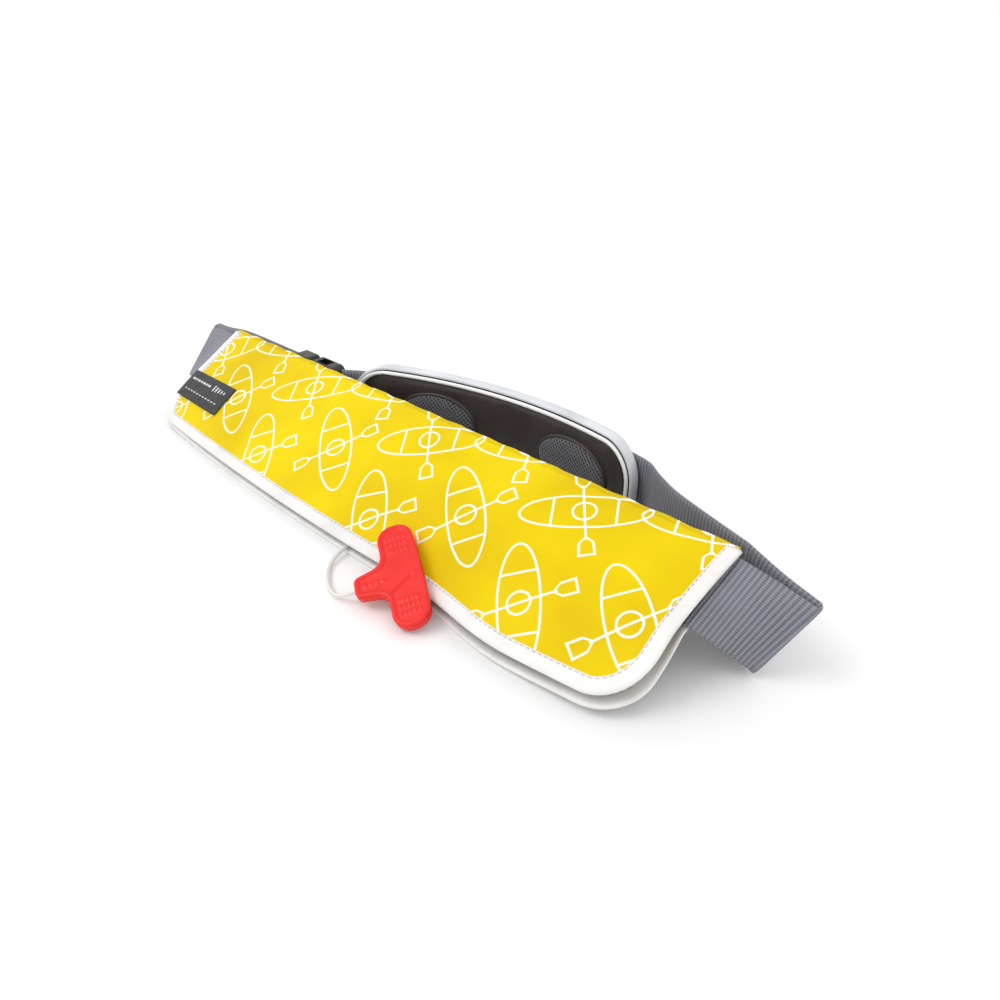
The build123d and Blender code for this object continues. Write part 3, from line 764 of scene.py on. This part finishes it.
def make_cord(handle):
    curve = bpy.data.curves.new("pull_cord_line", "CURVE")
    curve.dimensions = "3D"
    line = curve.splines.new("NURBS")
    line.points.add(len(CORD_POINTS) - 1)
    for point, at in zip(line.points, CORD_POINTS):
        point.co = (*at, 1)
    line.order_u = 3
    line.use_endpoint_u = True
    line.resolution_u = 24
    curve.bevel_depth = CORD_WIDTH / 2
    curve.bevel_resolution = 4
    curve.use_fill_caps = True
    piece = bpy.data.objects.new("pull_cord_line", curve)
    bpy.context.scene.collection.objects.link(piece)
    curve.materials.append(braid())
    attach(piece, "pull_handle")
    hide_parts("pull_cord")


# ---------------------------------------------------------------- pouch pieces
def settle(piece, body, slot, *nodes):
    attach(piece, body)
    if nodes:
        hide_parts(*nodes)
    return piece


def make_flap(mats):
    tape, thread = mats["binding_tape"], mats["thread"]
    stations = across_pouch(2.0)
    flap = sheet_piece("flap_fabric", FLAP, stations, 1.0, 3.0, (-0.6, 0.75), 72,
                       mats["print_fabric"], flap_spot)
    settle(flap, "flap", "print_fabric", "front_panel")
    front = binding_piece("front_edge_tape", FLAP, tape, (-1.3, 1.35), 44.0, 1.0)
    settle(front, "flap", "binding_tape", "front_binding")
    front_thread = edge_stitches("front_edge_stitches", FLAP, 7.8, 1.4, thread)
    settle(front_thread, "flap", "binding_tape")
    shell = sheet_piece("back_fabric", BACK, stations, 1.0, 2.5, (-0.7, 0.7), 48, mats["shell_fabric"])
    settle(shell, "pack", "shell_fabric", "back_panel")
    rear = binding_piece("back_edge_tape", BACK, tape, (-0.8, 1.55), 41.0, 0.0)
    settle(rear, "pack", "binding_tape", "back_binding")
    rear_thread = edge_stitches("back_edge_stitches", BACK, 7.8, 1.6, thread, every=4.5, low_y=40.0)
    settle(rear_thread, "pack", "binding_tape")
    # The fold gets the darker copy of the print: painted shade over the roll
    make_fold(mats["fold"])


def make_fold(material):
    """Rolled cloth over the fold line, from the flap's top edge to the back panel's."""
    rings, uv = [], []
    for x in across_pouch(2.0):
        reach = FLAP.forward(x, outline_limit(x, 0))
        front = flap_spot(x, 1.4, reach, 0.0)
        back = BACK.spot(x, 1.4, 0.0)
        scallop = 0.4 * math.sin(x / 1.75 / 2.4) + 0.5 * wobble(x, 0, 9, 2.2)
        top = np.array([x, 46.4, 53.9 + scallop * min(1.0, (POUCH_HALF - abs(x)) / 8)])
        rear = np.array([x, 45.6, 49.6])
        middle = spline([front, top, rear, back], 14)
        along = np.gradient(middle, axis=0)
        lift = 0.7 * unit(np.stack([np.zeros(len(middle)), along[:, 2], -along[:, 1]], 1))
        rings.append(np.concatenate([middle + lift, (middle - lift)[::-1]]))
        downs = np.linspace(1.4, -8, 14)
        uv.append(back_and_forth(x, downs))
    fold = skin("fold_roll", rings, material, uv)
    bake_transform(fold)


def strip_on(name, sheet, stations, span, lifts, material, rows=8):
    """Layer between two lifts over part of a sheet; span gives the first and last length down at x."""
    rings, uv = [], []
    for x in stations:
        first, last = span(x)
        downs = np.linspace(first, last, rows)
        ring = [sheet.spot(x, d, lifts[1]) for d in downs] + [sheet.spot(x, d, lifts[0]) for d in downs[::-1]]
        rings.append(ring)
        uv.append(back_and_forth(x, downs))
    return skin(name, rings, material, uv, smooth=False)


def flap_down(x, fraction):
    return FLAP.forward(x, FOLD_Y + (lip_line(x) - FLAP_PAST_LIP - FOLD_Y) * fraction)


def make_closures(mats):
    stations = np.linspace(-175, 175, 120)
    hook = strip_on("hook_tape", FLAP, stations, lambda x: (flap_down(x, 0.745), flap_down(x, 0.835)),
                    (-2.15, -0.85), mats["hook"])
    settle(hook, "flap", "fastener_tape", "hook_strip")
    rings, uv = [], []
    for x in np.linspace(-125, 125, 90):
        ys = np.linspace(-23, -35, 8)
        crown = [2.7 - 0.5 * abs((y + 29) / 6) ** 6 for y in ys]
        rings.append([(x, y, z) for y, z in zip(ys, crown)] + [(x, y, 1.62) for y in ys[::-1]])
        uv.append(back_and_forth(x, ys))
    loop = skin("loop_tape", rings, mats["loop"], uv, smooth=False)
    settle(loop, "pack", "fastener_tape", "loop_strip")
    make_label(mats)


def make_label(mats):
    """Moulded rubber label at the flap's left end, with a generic mark of dots and bars."""
    columns, rows = 60, 24
    x0, x1 = -233.6, -168.4
    points, uv = [], []
    for side in (1, -1):
        for i in range(columns):
            x = x0 + (x1 - x0) * i / (columns - 1)
            first, last = flap_down(x, 0.485), flap_down(x, 0.735)
            for j in range(rows):
                share = j / (rows - 1)
                u, v = (x - x0) / (x1 - x0) * 2 - 1, share * 2 - 1
                edge = max(abs(u) ** 14, abs(v) ** 8)
                lift = (2.15 - 0.35 * edge) if side > 0 else 1.42
                squeeze = 1 - 0.02 * abs(u) ** 10
                down = (first + last) / 2 + (last - first) / 2 * v * squeeze
                points.append(FLAP.spot(x, down, lift))
                uv.append((x / 100, down / 100))
    faces = grid_faces(columns, rows) + [f[::-1] for f in grid_faces(columns, rows, start=columns * rows)]
    loop = [i * rows for i in range(columns)] + [(columns - 1) * rows + j for j in range(1, rows)]
    loop += [i * rows + rows - 1 for i in range(columns - 2, -1, -1)] + [j for j in range(rows - 2, 0, -1)]
    total = columns * rows
    for a, b in zip(loop, loop[1:] + loop[:1]):
        faces.append((a, b, b + total, a + total))
    label = finish_normals(build("rubber_label", place(points), faces, np.array(uv), mats["label"]))
    settle(label, "flap", "label_rubber", "label_patch")
    marks = []
    for k in range(7):
        marks.append((-226 + k * 4.3, 0.56, 1.3 if k % 2 else 2.0, 1.0))
    for k in range(5):
        marks.append((-192 + k * 4.0, 0.56, 0.9, 3.0 - 0.45 * k))
    for k in range(11):
        marks.append((-226 + k * 4.9, 0.66, 1.5, 0.55))
    points, faces = [], []
    for x, fraction, half_x, half_d in marks:
        first = len(points)
        for lift, size in ((2.05, 1.0), (2.4, 1.0), (2.5, 0.8)):
            for k in range(12):
                turn = k * math.pi / 6
                c = math.copysign(abs(math.cos(turn)) ** 0.5, math.cos(turn))
                n = math.copysign(abs(math.sin(turn)) ** 0.5, math.sin(turn))
                at = x + c * half_x * size
                points.append(FLAP.spot(at, flap_down(at, fraction) + n * half_d * size, lift))
        faces += grid_faces(3, 12, wrap_columns=True, start=first)
        faces.append(tuple(range(first + 24, first + 36)))
    print_marks = finish_normals(build("label_marks", place(points), faces, None, mats["label_mark"]))
    settle(print_marks, "flap", "label_rubber")


# ---------------------------------------------------------------- belt
WEB_LOW = 2.0
WEB_HIGH = 52.0
PAD_AXIS = (62.5, -206.7)
WEB_PAD_RADIUS = 311.2
SPAN = (-235.0, -222.0, -200.0, -175.0, -150.0, -130.0, -65.0, 0.0,
        65.0, 130.0, 150.0, 175.0, 200.0, 222.0, 235.0)


def make_belt(mats):
    web = mats["webbing"]
    front = ribbon("belt_front_webbing", [web_station(x) for x in SPAN], 200, web)
    settle(front, "pack", "webbing", "belt_front_run")
    right = bend_stations(web_station(235.0), ((281, 33, 51.5), (260.5, 24.5, 3.2)),
                          ((232, 56.5, 52), (232, 56.5, 2)), 2.6)
    settle(ribbon("belt_right_webbing", right, 90, web, columns=22), "pack", "webbing", "belt_right_bend")
    points = [(232.0, 56.5), (203.0, 66.0), (178.0, 75.0), (160.0, 85.0), (148.0, 93.0)]
    for x in range(130, -91, -20):
        points.append((float(x), PAD_AXIS[1] + math.sqrt(WEB_PAD_RADIUS ** 2 - (x - PAD_AXIS[0]) ** 2)))
    points.append((-104.0, 55.1))
    behind = [((x, y, WEB_HIGH), (x, y, WEB_LOW)) for x, y in points]
    settle(ribbon("belt_back_webbing", behind, 220, web), "pack", "webbing", "belt_pad_run")
    left_back = ((-235, 52, 52.5), (-235, 27, 9.7))
    left = bend_stations(web_station(-235.0), ((-266.5, 43, 52), (-262, 8.5, 16.5)), left_back, 2.6)
    bend = ribbon("belt_left_webbing", left, 90, web, columns=22)
    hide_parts("belt_left_bend")
    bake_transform(bend)
    straight = [((x, 53.5, 52), (x, 53.5, 2)) for x in (-190, -172, -157.2)]
    back = [left_back, ((-212, 53.2, 52.3), (-212, 46, 3.2))] + straight
    settle(ribbon("belt_return_webbing", back, 70, web), "plug", "webbing", "belt_left_return")
    tail = []
    for x in np.linspace(-29.6, 31.6, 9):
        y = PAD_AXIS[1] + math.sqrt((WEB_PAD_RADIUS + 2.1) ** 2 - (x - PAD_AXIS[0]) ** 2)
        tail.append(((x, y, WEB_HIGH), (x, y, WEB_LOW)))
    settle(ribbon("belt_tail_webbing", tail, 40, web), "pack", "webbing", "belt_tail")
    sleeve = []
    for x in (-205, -200, -175, -150, -130, -65, 0, 65, 130, 150, 175, 200, 205):
        upper, lower = (np.array(p) for p in web_station(x))
        across = unit(lower - upper)
        face = np.array([0, across[2], -across[1]])
        shift = 1.95 * face * (1 if face[1] > 0 else -1)
        sleeve.append((upper + (lower - upper) * 0.125 - shift, lower - shift))
    inner = ribbon("belt_sleeve_fabric", sleeve, 160, mats["shell_fabric"], thick=0.9)
    settle(inner, "pack", "shell_fabric", "belt_sleeve")
    make_keepers(mats)


# Loops on the pad's back: half width, and the way round the belt as (radius, height), in millimetres
KEEPERS = (("keeper_loop_left", "pad_keeper_left", -50.0), ("keeper_loop_right", "pad_keeper_right", 106.0))
KEEPER_HALF = 11.8
KEEPER_PATH = ((309.6, 0.6), (309.6, 1.2), (311.0, 1.2), (313.0, 1.4), (313.4, 4.0), (313.5, 14.0),
               (313.5, 27.0), (313.5, 40.0), (313.4, 50.0), (313.0, 52.8), (311.0, 53.4), (309.6, 53.6),
               (309.6, 56.4))
ELASTIC_SPAN = (20.2, 27.8)
ELASTIC_PATH = ((309.75, 0.6), (309.75, 1.8), (313.5, 1.5), (315.3, 1.9), (315.6, 6.0), (315.7, 27.0),
                (315.6, 48.0), (315.3, 52.2), (313.5, 52.6), (309.75, 52.3), (309.75, 53.5), (313.6, 53.4),
                (316.0, 53.0), (316.5, 50.0), (316.6, 27.0), (316.5, 4.0), (316.0, 1.0), (313.6, 0.6))


def make_keepers(mats):
    """Webbing loops that hold the belt on the pad's back, and the elastic loop on the tail."""
    for name, node, x in KEEPERS:
        rings, uv = [], []
        for at in np.linspace(x - KEEPER_HALF, x + KEEPER_HALF, 14):
            edge = 0.25 * abs((at - x) / KEEPER_HALF) ** 8
            front, back = [], []
            for r, z in KEEPER_PATH:
                direction = (at - PAD_AXIS[0]) / r
                lean = math.sqrt(max(1 - direction ** 2, 0))
                for store, off in ((front, 0.55 - edge), (back, -0.25 if 309.7 > r else -0.5)):
                    rr = r + off if r > 309.7 else r + max(off, 0.0) + 0.02
                    store.append((at, PAD_AXIS[1] + rr * lean, z))
            rings.append(front + back[::-1])
            uv.append(back_and_forth(at, [z for _, z in KEEPER_PATH]))
        keeper = skin(name, rings, mats["webbing"], uv)
        settle(keeper, "pack", "webbing", node)
    make_elastic(mats)


def make_elastic(mats):
    """Elastic loop that holds the belt's loose tail behind the pad."""
    rings = []
    for x in np.linspace(*ELASTIC_SPAN, 9):
        lean = [math.sqrt(r ** 2 - (x - PAD_AXIS[0]) ** 2) for r, _ in ELASTIC_PATH]
        rings.append([(x, PAD_AXIS[1] + y, z) for y, (_, z) in zip(lean, ELASTIC_PATH)])
    elastic = skin("elastic_loop", rings, mats["elastic"])
    settle(elastic, "pack", "elastic", "elastic_keeper")


# ---------------------------------------------------------------- pad
PAD_LEFT = -90.0
PAD_RIGHT = 143.0
PAD_TALL = 61.5
PAD_CORNER = 26.0


def pad_outline(inset, count=220):
    """Rounded rectangle of the pad, drawn in, evenly spaced from its right end, as (x, z) rows."""
    x0, x1 = PAD_LEFT + inset, PAD_RIGHT - inset
    z0, z1 = 0.1 + inset, 0.1 + PAD_TALL - inset
    r = max(PAD_CORNER - inset, 0.3)
    corners = ((x1 - r, z1 - r, 90), (x0 + r, z1 - r, 180), (x0 + r, z0 + r, 270), (x1 - r, z0 + r, 360))
    points = [(x1, (z0 + z1) / 2)]
    for cx, cz, end in corners:
        for turn in np.linspace(end - 90, end, 16):
            a = math.radians(turn)
            points.append((cx + r * math.cos(a), cz + r * math.sin(a)))
    points = np.array(points + points[:1])
    gone = run_lengths(points)
    even = np.linspace(0, gone[-1], count, endpoint=False)
    return np.stack([np.interp(even, gone, points[:, k]) for k in range(2)], 1)


def on_pad(x, z, radius):
    """Point on a cylinder round the pad's axis, in front of x."""
    return (x, PAD_AXIS[1] + math.sqrt(radius ** 2 - (x - PAD_AXIS[0]) ** 2), z)


def pad_rings(layers):
    """Rings of points from (inset, radius) layers."""
    return np.array([[on_pad(x, z, radius) for x, z in pad_outline(inset)] for inset, radius in layers])


def fill_layers(inset, radius, dome=0.0):
    """Layers from a face's edge to its middle."""
    steps = (0.06, 0.15, 0.3, 0.5, 0.75, 1)
    return [(inset + (30.2 - inset) * t, radius - dome * math.sin(t * math.pi / 2)) for t in steps]


def make_pad(mats):
    """Pad body, its rim and back, the piping round it, and the two mesh ovals."""
    layers = fill_layers(5.5, 301.2, 0.6)[::-1]
    layers += [(5.7, 302.4), (5.5, 303.6), (3.1, 304.0), (2.7, 305.2), (2.9, 307.2)]
    layers += fill_layers(2.9, 307.9)
    core = puffed("lumbar_pad_body", pad_rings(layers), mats["pad_fabric"], 0.6, cross=True)
    settle(core, "pack", "pad_fabric", "pad_core", "pad_front_cover")
    back_layers = fill_layers(1.2, 309.3)[::-1]
    back_layers += [(0.8, 309.2), (0.15, 308.6), (0.1, 306.5), (0.15, 301.9), (0.6, 301.2), (1.2, 301.1),
                    (1.8, 301.2), (2.3, 301.8), (2.4, 303.0), (2.4, 307.6)]
    back_layers += fill_layers(2.4, 308.1)
    cover = skin("pad_rim_and_back", pad_rings(back_layers), mats["pad_shell_fabric"], cross=True)
    settle(cover, "pack", "pad_shell_fabric", "pad_back_cover")
    piping_layers = []
    for turn in np.linspace(0, 360, 13)[:-1]:
        a = math.radians(turn)
        piping_layers.append((4.0 + 1.35 * math.cos(a), 300.4 + 1.35 * math.sin(a)))
    piping = skin("pad_edge_piping", pad_rings(piping_layers), mats["piping"], closed=True)
    settle(piping, "pack", "piping_white", "pad_piping")
    for name, node, x in OVALS:
        z = OVAL_Z
        oval = puffed(name, oval_mesh(x, z), mats["mesh_fabric"], 0.7)
        settle(oval, "pack", "mesh_fabric", node)
        settle(oval_rim(name + "_rim", x, z, mats["pad_fabric"]), "pack", "mesh_fabric")


# Mesh ovals: places on the pad, half sizes, rim cord radius, and rings as (share of the size, radius)
OVALS = (("mesh_oval_left", "mesh_pad_left", -24.0), ("mesh_oval_right", "mesh_pad_right", 91.0))
OVAL_Z = 28.5
OVAL_WIDE, OVAL_TALL = 31, 20
OVAL_CORD = 1.3
OVAL_RINGS = ((0.02, 300.8), (0.35, 300.8), (0.7, 300.8), (0.9, 300.8), (0.97, 300.6), (0.98, 299.8),
              (0.97, 298.8), (0.93, 297.9), (0.85, 297.4), (0.6, 296.9), (0.3, 296.8), (0.02, 296.7))


def oval_mesh(cx, cz):
    """Rings of a mesh oval, from the middle of its face round its edge to the middle of its back."""
    rings = []
    for size, radius in OVAL_RINGS:
        ring = []
        for k in range(72):
            a = k * math.tau / 72
            x, z = cx + OVAL_WIDE * size * math.cos(a), cz + OVAL_TALL * size * math.sin(a)
            ring.append(on_pad(x, z, radius))
        rings.append(ring)
    return np.array(rings)


def oval_rim(name, cx, cz, material):
    """Corded rim round a mesh oval."""
    rings = []
    for a in np.linspace(0, math.tau, 97)[:-1]:
        ring = []
        for turn in np.linspace(0, math.tau, 11)[:-1]:
            out = OVAL_CORD * math.cos(turn) - 1.35
            x, z = cx + (OVAL_WIDE + out) * math.cos(a), cz + (OVAL_TALL + out) * math.sin(a)
            ring.append(on_pad(x, z, 299.2 + OVAL_CORD * math.sin(turn)))
        rings.append(ring)
    return skin(name, rings, material, closed=True)


PUFF_PRESSURE = 4.0
PUFF_FRAMES = 20


def puffed(name, rings, material, cap, voxel=0.002, cross=False):
    """Padded piece: remeshed and puffed up by a cloth simulation, its travel capped in millimetres."""
    piece = skin(name, rings, material, cross=cross)
    scene = bpy.context.scene
    bpy.ops.object.select_all(action="DESELECT")
    piece.select_set(True)
    bpy.context.view_layer.objects.active = piece
    remesh = piece.modifiers.new("remesh", "REMESH")
    remesh.mode = "VOXEL"
    remesh.voxel_size = voxel
    bpy.ops.object.modifier_apply(modifier="remesh")
    before = np.array([v.co for v in piece.data.vertices])
    cloth = piece.modifiers.new("cloth", "CLOTH")
    settings = cloth.settings
    settings.quality = 6
    settings.mass = 0.2
    settings.tension_stiffness = settings.compression_stiffness = 25
    settings.shear_stiffness = 12
    settings.bending_stiffness = 0.4
    settings.use_pressure = True
    settings.uniform_pressure_force = PUFF_PRESSURE
    settings.effector_weights.gravity = 0
    cloth.collision_settings.use_collision = False
    cloth.point_cache.frame_start, cloth.point_cache.frame_end = 1, PUFF_FRAMES
    for step in range(1, PUFF_FRAMES + 1):
        scene.frame_set(step)
    graph = bpy.context.evaluated_depsgraph_get()
    moved = np.array([v.co for v in piece.evaluated_get(graph).data.vertices])
    piece.modifiers.remove(cloth)
    scene.frame_set(1)
    travel = moved - before
    far = np.linalg.norm(travel, axis=1, keepdims=True)
    travel *= np.minimum(1.0, cap * MM / np.maximum(far, 1e-9))
    piece.data.vertices.foreach_set("co", (before + travel).astype(np.float32).reshape(-1))
    piece.data.polygons.foreach_set("use_smooth", [True] * len(piece.data.polygons))
    smooth = piece.modifiers.new("smooth", "SMOOTH")
    smooth.iterations = 4
    bpy.ops.object.modifier_apply(modifier="smooth")
    finer = piece.modifiers.new("finer", "SUBSURF")
    finer.levels = finer.render_levels = 1
    piece.data.update()
    return piece


# ---------------------------------------------------------------- bladder
def loft(sections, count):
    """Closed rings through (x, ((y, z), ...)) sections, with rounded outlines."""
    rings = []
    for i in range(count):
        t = i / (count - 1)
        x = sections[0][0] + (sections[-1][0] - sections[0][0]) * t
        xs = [s[0] for s in sections]
        outline = np.array([[np.interp(x, xs, [s[1][k][c] for s in sections]) for c in range(2)]
                            for k in range(len(sections[0][1]))])
        end = min(t, 1 - t) * (sections[-1][0] - sections[0][0])
        shrink = math.sqrt(max(1 - max(1 - end / 7.0, 0) ** 2, 0.04))
        centre = outline.mean(0)
        corners = len(outline)
        ring = []
        for k in range(corners):
            a, b = outline[k], outline[(k + 1) % corners]
            for s in np.linspace(0.12, 0.88, 9):
                ring.append(a + (b - a) * s)
        ring = np.array(ring)
        for _ in range(2):
            ring = (np.roll(ring, 1, 0) + ring * 2 + np.roll(ring, -1, 0)) / 4
        ring = centre + (ring - centre) * shrink * 0.955
        rings.append([(x, y, z) for y, z in ring])
    return np.array(rings)


def make_bladder(mats):
    left_end = ((22, 5.5), (2, 5.5), (2, 18), (12, 29), (26, 36))
    left_mid = ((28, 2.0), (0, 2.0), (0, 22), (10, 33), (30, 43))
    left = ((-151, left_end), (-130, left_mid), (-5, left_mid))
    right_mid = ((31, 27.6), (0, 27.6), (2, 31), (10, 36), (31, 44))
    right_end = ((29, 27.6), (3, 27.6), (4, 30), (11, 34), (28, 40))
    right = ((1, right_mid), (130, right_mid), (155, right_end))
    for side, sections in (("left", left), ("right", right)):
        name, node = "bladder_pack_" + side, "bladder_" + side
        pack = puffed(name, loft(sections, 44), mats["bladder"], 1.0, voxel=0.004)
        settle(pack, "pack", "bladder_fabric", node)


# ---------------------------------------------------------------- T-handle
HANDLE_AT = np.array([87.0, -52.5, 16.6])
HANDLE_BAR = unit(np.array([0.814, -0.494, -0.305]))
HANDLE_STEM = np.array([-0.573, -0.775, -0.27])
HANDLE_FACE = unit(np.cross(HANDLE_STEM, HANDLE_BAR))
HANDLE_DOWN = -unit(np.cross(HANDLE_FACE, HANDLE_BAR))
HANDLE_THICK = 6.5
BAR_HALF = 34.0
BAR_WIDE = 10.5


def handle_gap(u, v):
    """Signed distance to the T outline in its plane: u along the bar, v down the stem."""
    r = 9.4
    v += 1.4 * max(1 - (u / 24) ** 2, 0) * clamp((2 - v) / 8)
    qx, qy = abs(u) - (BAR_HALF - r), abs(v) - (BAR_WIDE - r)
    bar = math.hypot(max(qx, 0), max(qy, 0)) + min(max(qx, qy), 0) - r
    half = 12.0 - 5.5 * clamp(v / 28.0)
    sx, sy = abs(u) - (half - 3), abs(v - 14) - (14 - 3)
    stem = math.hypot(max(sx, 0), max(sy, 0)) + min(max(sx, sy), 0) - 3
    k = 7.0
    h = max(k - abs(bar - stem), 0) / k
    return min(bar, stem) - h * h * k / 4


def handle_height(u, v, gap):
    """Half thickness at a place on the face, with the rim, the recess and the moulded marks."""
    inside = -gap
    height = HANDLE_THICK / 2 - 0.9 * (1 - min(inside / 1.1, 1)) ** 2
    if inside > 2.3:
        height -= 0.75 * min((inside - 2.3) / 0.5, 1)
    if abs(v) < BAR_WIDE and abs(u) > 12:
        for column in range(3):
            for row in range(5):
                du = (abs(u) - 16.5 - column * 4.4) / 1.25
                dv = (v + 5.2 - row * 2.6) / (0.55 if (column + row) % 3 else 0.9)
                height += 0.5 * max(0.0, 1 - (du * du + dv * dv) ** 2)
    if abs(u) < 3 and 9 < v < 24:
        for row in range(4):
            height += 0.5 * max(0.0, 1 - ((u / 1.5) ** 2 + ((v - 11.5 - row * 3.4) / 1.0) ** 2) ** 2)
    groove = abs(u - 0.55 * (v + 1) - 5.0)
    if -6 < v < 8:
        height -= 0.9 * max(0.0, 1 - (groove / 0.8) ** 2) * min(1.0, (v + 6) / 2, (8 - v) / 2)
    return max(height, 0.3)


def make_handle(mats):
    """T-handle skin: grid cells inside the T outline on both faces, their outer corners pulled onto the outline,
    joined by side walls.
    """
    step = 0.7
    us = np.arange(-BAR_HALF - 0.5, BAR_HALF + 0.51, step)
    vs = np.arange(-BAR_WIDE - 0.5, 28.6, step)
    gaps = np.array([[handle_gap(u, v) for v in vs] for u in us])
    index, points = {}, []

    def corner(i, j, side):
        key = (i, j, side)
        if key not in index:
            u, v, gap = us[i], vs[j], gaps[i, j]
            if gap > -0.05:
                e = 0.2
                slope = np.array([handle_gap(u + e, v) - handle_gap(u - e, v),
                                  handle_gap(u, v + e) - handle_gap(u, v - e)]) / (2 * e)
                slope /= max(np.linalg.norm(slope), 1e-6)
                u, v = u - slope[0] * (gap + 0.05), v - slope[1] * (gap + 0.05)
                gap = -0.05
            height = handle_height(u, v, gap)
            index[key] = len(points)
            points.append(HANDLE_AT + HANDLE_BAR * u + HANDLE_DOWN * v + HANDLE_FACE * side * height)
        return index[key]

    faces, edges = [], {}
    for i in range(len(us) - 1):
        for j in range(len(vs) - 1):
            if min(gaps[i:i + 2, j:j + 2].reshape(-1)) > -0.25:
                continue
            cell = [(i, j), (i + 1, j), (i + 1, j + 1), (i, j + 1)]
            faces.append([corner(a, b, 1) for a, b in cell])
            faces.append([corner(a, b, -1) for a, b in cell][::-1])
            for a, b in zip(cell, cell[1:] + cell[:1]):
                if (b, a) in edges:
                    del edges[(b, a)]
                else:
                    edges[(a, b)] = True
    for a, b in edges:
        faces.append([corner(*b, 1), corner(*a, 1), corner(*a, -1), corner(*b, -1)])
    handle = finish_normals(build("pull_handle_moulding", place(points), faces, None, mats["handle"]))
    return settle(handle, "pull_handle", "handle_plastic", "t_handle")


# ---------------------------------------------------------------- CAD nodes kept
def dress(node, material, bevel=0.0):
    """New material and softened edges on a CAD node."""
    piece = NODES[node]
    for slot in piece.material_slots:
        slot.material = material
    if not piece.material_slots:
        piece.data.materials.append(material)
    if bevel:
        soft = piece.modifiers.new("soft_edges", "BEVEL")
        soft.width = bevel * MM
        soft.segments = 3
        soft.limit_method = "ANGLE"
        soft.angle_limit = math.radians(35)
        soft.harden_normals = False


def make_hardware(mats):
    black = mats["buckle"]
    for node in ("buckle_housing", "buckle_plug"):
        dress(node, black, 0.7)
    for node in ("prong_upper", "prong_lower", "slider"):
        dress(node, black, 0.4)
    dress("inflator_body", mats["inflator"], 0.5)
    dress("inflation_lever", mats["lever"], 0.5)
    dress("lever_pin", mats["steel"])
    dress("seal_indicator", mats["indicator"], 0.4)
    dress("co2_cylinder", mats["cylinder"])
    dress("oral_tube", mats["tube"])
    dress("oral_flange", mats["tube"], 0.5)
    dress("oral_cap", mats["cap"], 0.8)


# ---------------------------------------------------------------- studio
def make_stage():
    floor = build("floor", [(-90, -90, 0), (90, -90, 0), (90, 90, 0), (-90, 90, 0)], [(0, 1, 2, 3)])
    s = Shade("floor_paper", (0.9, 0.9, 0.9), 0.75, Specular_IOR_Level=0.2)
    s.bump(s.noise(s.coords("Object"), 200.0), 0.02, 0.0005)
    floor.data.materials.append(s.material)
    lamps = (("key", (0.35, 0.5, -0.8), 30.0, 0.8), ("fill", (-0.6, 0.1, -0.7), 60.0, 0.1))
    for name, aim, size, power in lamps:
        light = bpy.data.lights.new(name, "SUN")
        light.angle = math.radians(size)
        light.energy = power
        lamp = bpy.data.objects.new(name, light)
        bpy.context.scene.collection.objects.link(lamp)
        lamp.rotation_mode = "QUATERNION"
        lamp.rotation_quaternion = Vector(aim).to_track_quat("-Z", "Y")
    world = bpy.data.worlds.new("studio")
    world.use_nodes = True
    world.node_tree.nodes["Background"].inputs[0].default_value = (1, 1, 1, 1)
    world.node_tree.nodes["Background"].inputs[1].default_value = 1.0
    bpy.context.scene.world = world
    bpy.context.scene.view_settings.view_transform = "Standard"


def make_materials():
    red = Shade("handle_plastic", (0.78, 0.02, 0.014), 0.3, Specular_IOR_Level=0.35)
    where = red.coords("Object")
    red.colour(red.mix(red.ramp(red.noise(where, 90.0), 0.3, 0.75), (0.82, 0.018, 0.012), (0.7, 0.012, 0.008)))
    red.rough(red.ramp(red.noise(where, 260.0, 4.0), 0.3, 0.7, 0.26, 0.4))
    red.bump(red.noise(where, 700.0, 3.0), 0.06, 0.0003)
    return {
        # The fold's cloth is a darker copy of the yellow print: painted shade on the rolled fold
        "print_fabric": print_fabric(), "fold": print_fabric("fold_fabric_painted_shade", (0.7, 0.525, 0.0), (0.62, 0.45, 0.0)),
        "binding_tape": binding_tape(), "thread": moulded("thread", (0.6, 0.6, 0.61), 0.6),
        "shell_fabric": coated_fabric("shell_fabric", (0.02, 0.02, 0.023), 0.5),
        "hook": pile("hook_tape", (0.02, 0.02, 0.022)), "loop": pile("loop_tape", (0.035, 0.035, 0.04)),
        "label": moulded("label_rubber", (0.012, 0.012, 0.014), 0.42, 900.0),
        "label_mark": moulded("label_mark", (0.62, 0.62, 0.64), 0.5),
        "webbing": webbing(), "elastic": webbing("elastic", (0.03, 0.03, 0.033), 1.6),
        "pad_fabric": coated_fabric("pad_fabric", (0.034, 0.025, 0.023), 0.4, 1.1),
        "pad_shell_fabric": coated_fabric("pad_shell_fabric", (0.55, 0.56, 0.59), 0.5, 1.0),
        "piping": binding_tape("piping_white", (0.9, 0.9, 0.9)), "mesh_fabric": mesh_fabric(),
        "bladder": coated_fabric("bladder_fabric", (0.9, 0.33, 0.01), 0.4), "handle": red.material,
        "buckle": moulded("buckle_plastic", (0.013, 0.013, 0.015), 0.34),
        "inflator": moulded("inflator_plastic", (0.03, 0.03, 0.035), 0.4),
        "lever": moulded("lever_plastic", (0.62, 0.02, 0.015), 0.35, coat=0.2),
        "steel": metal("pin_steel", (0.62, 0.62, 0.62)),
        "cylinder": metal("cylinder_steel", (0.5, 0.52, 0.54), 0.28),
        "indicator": moulded("indicator_plastic", (0.04, 0.5, 0.08), 0.3, coat=0.4),
        "tube": moulded("tube_plastic", (0.025, 0.025, 0.028), 0.5),
        "cap": moulded("cap_plastic", (0.6, 0.03, 0.02), 0.4),
    }


make_camera()
MATS = make_materials()
make_cord(make_handle(MATS))
make_flap(MATS)
make_closures(MATS)
make_belt(MATS)
make_pad(MATS)
make_bladder(MATS)
make_hardware(MATS)
make_stage()
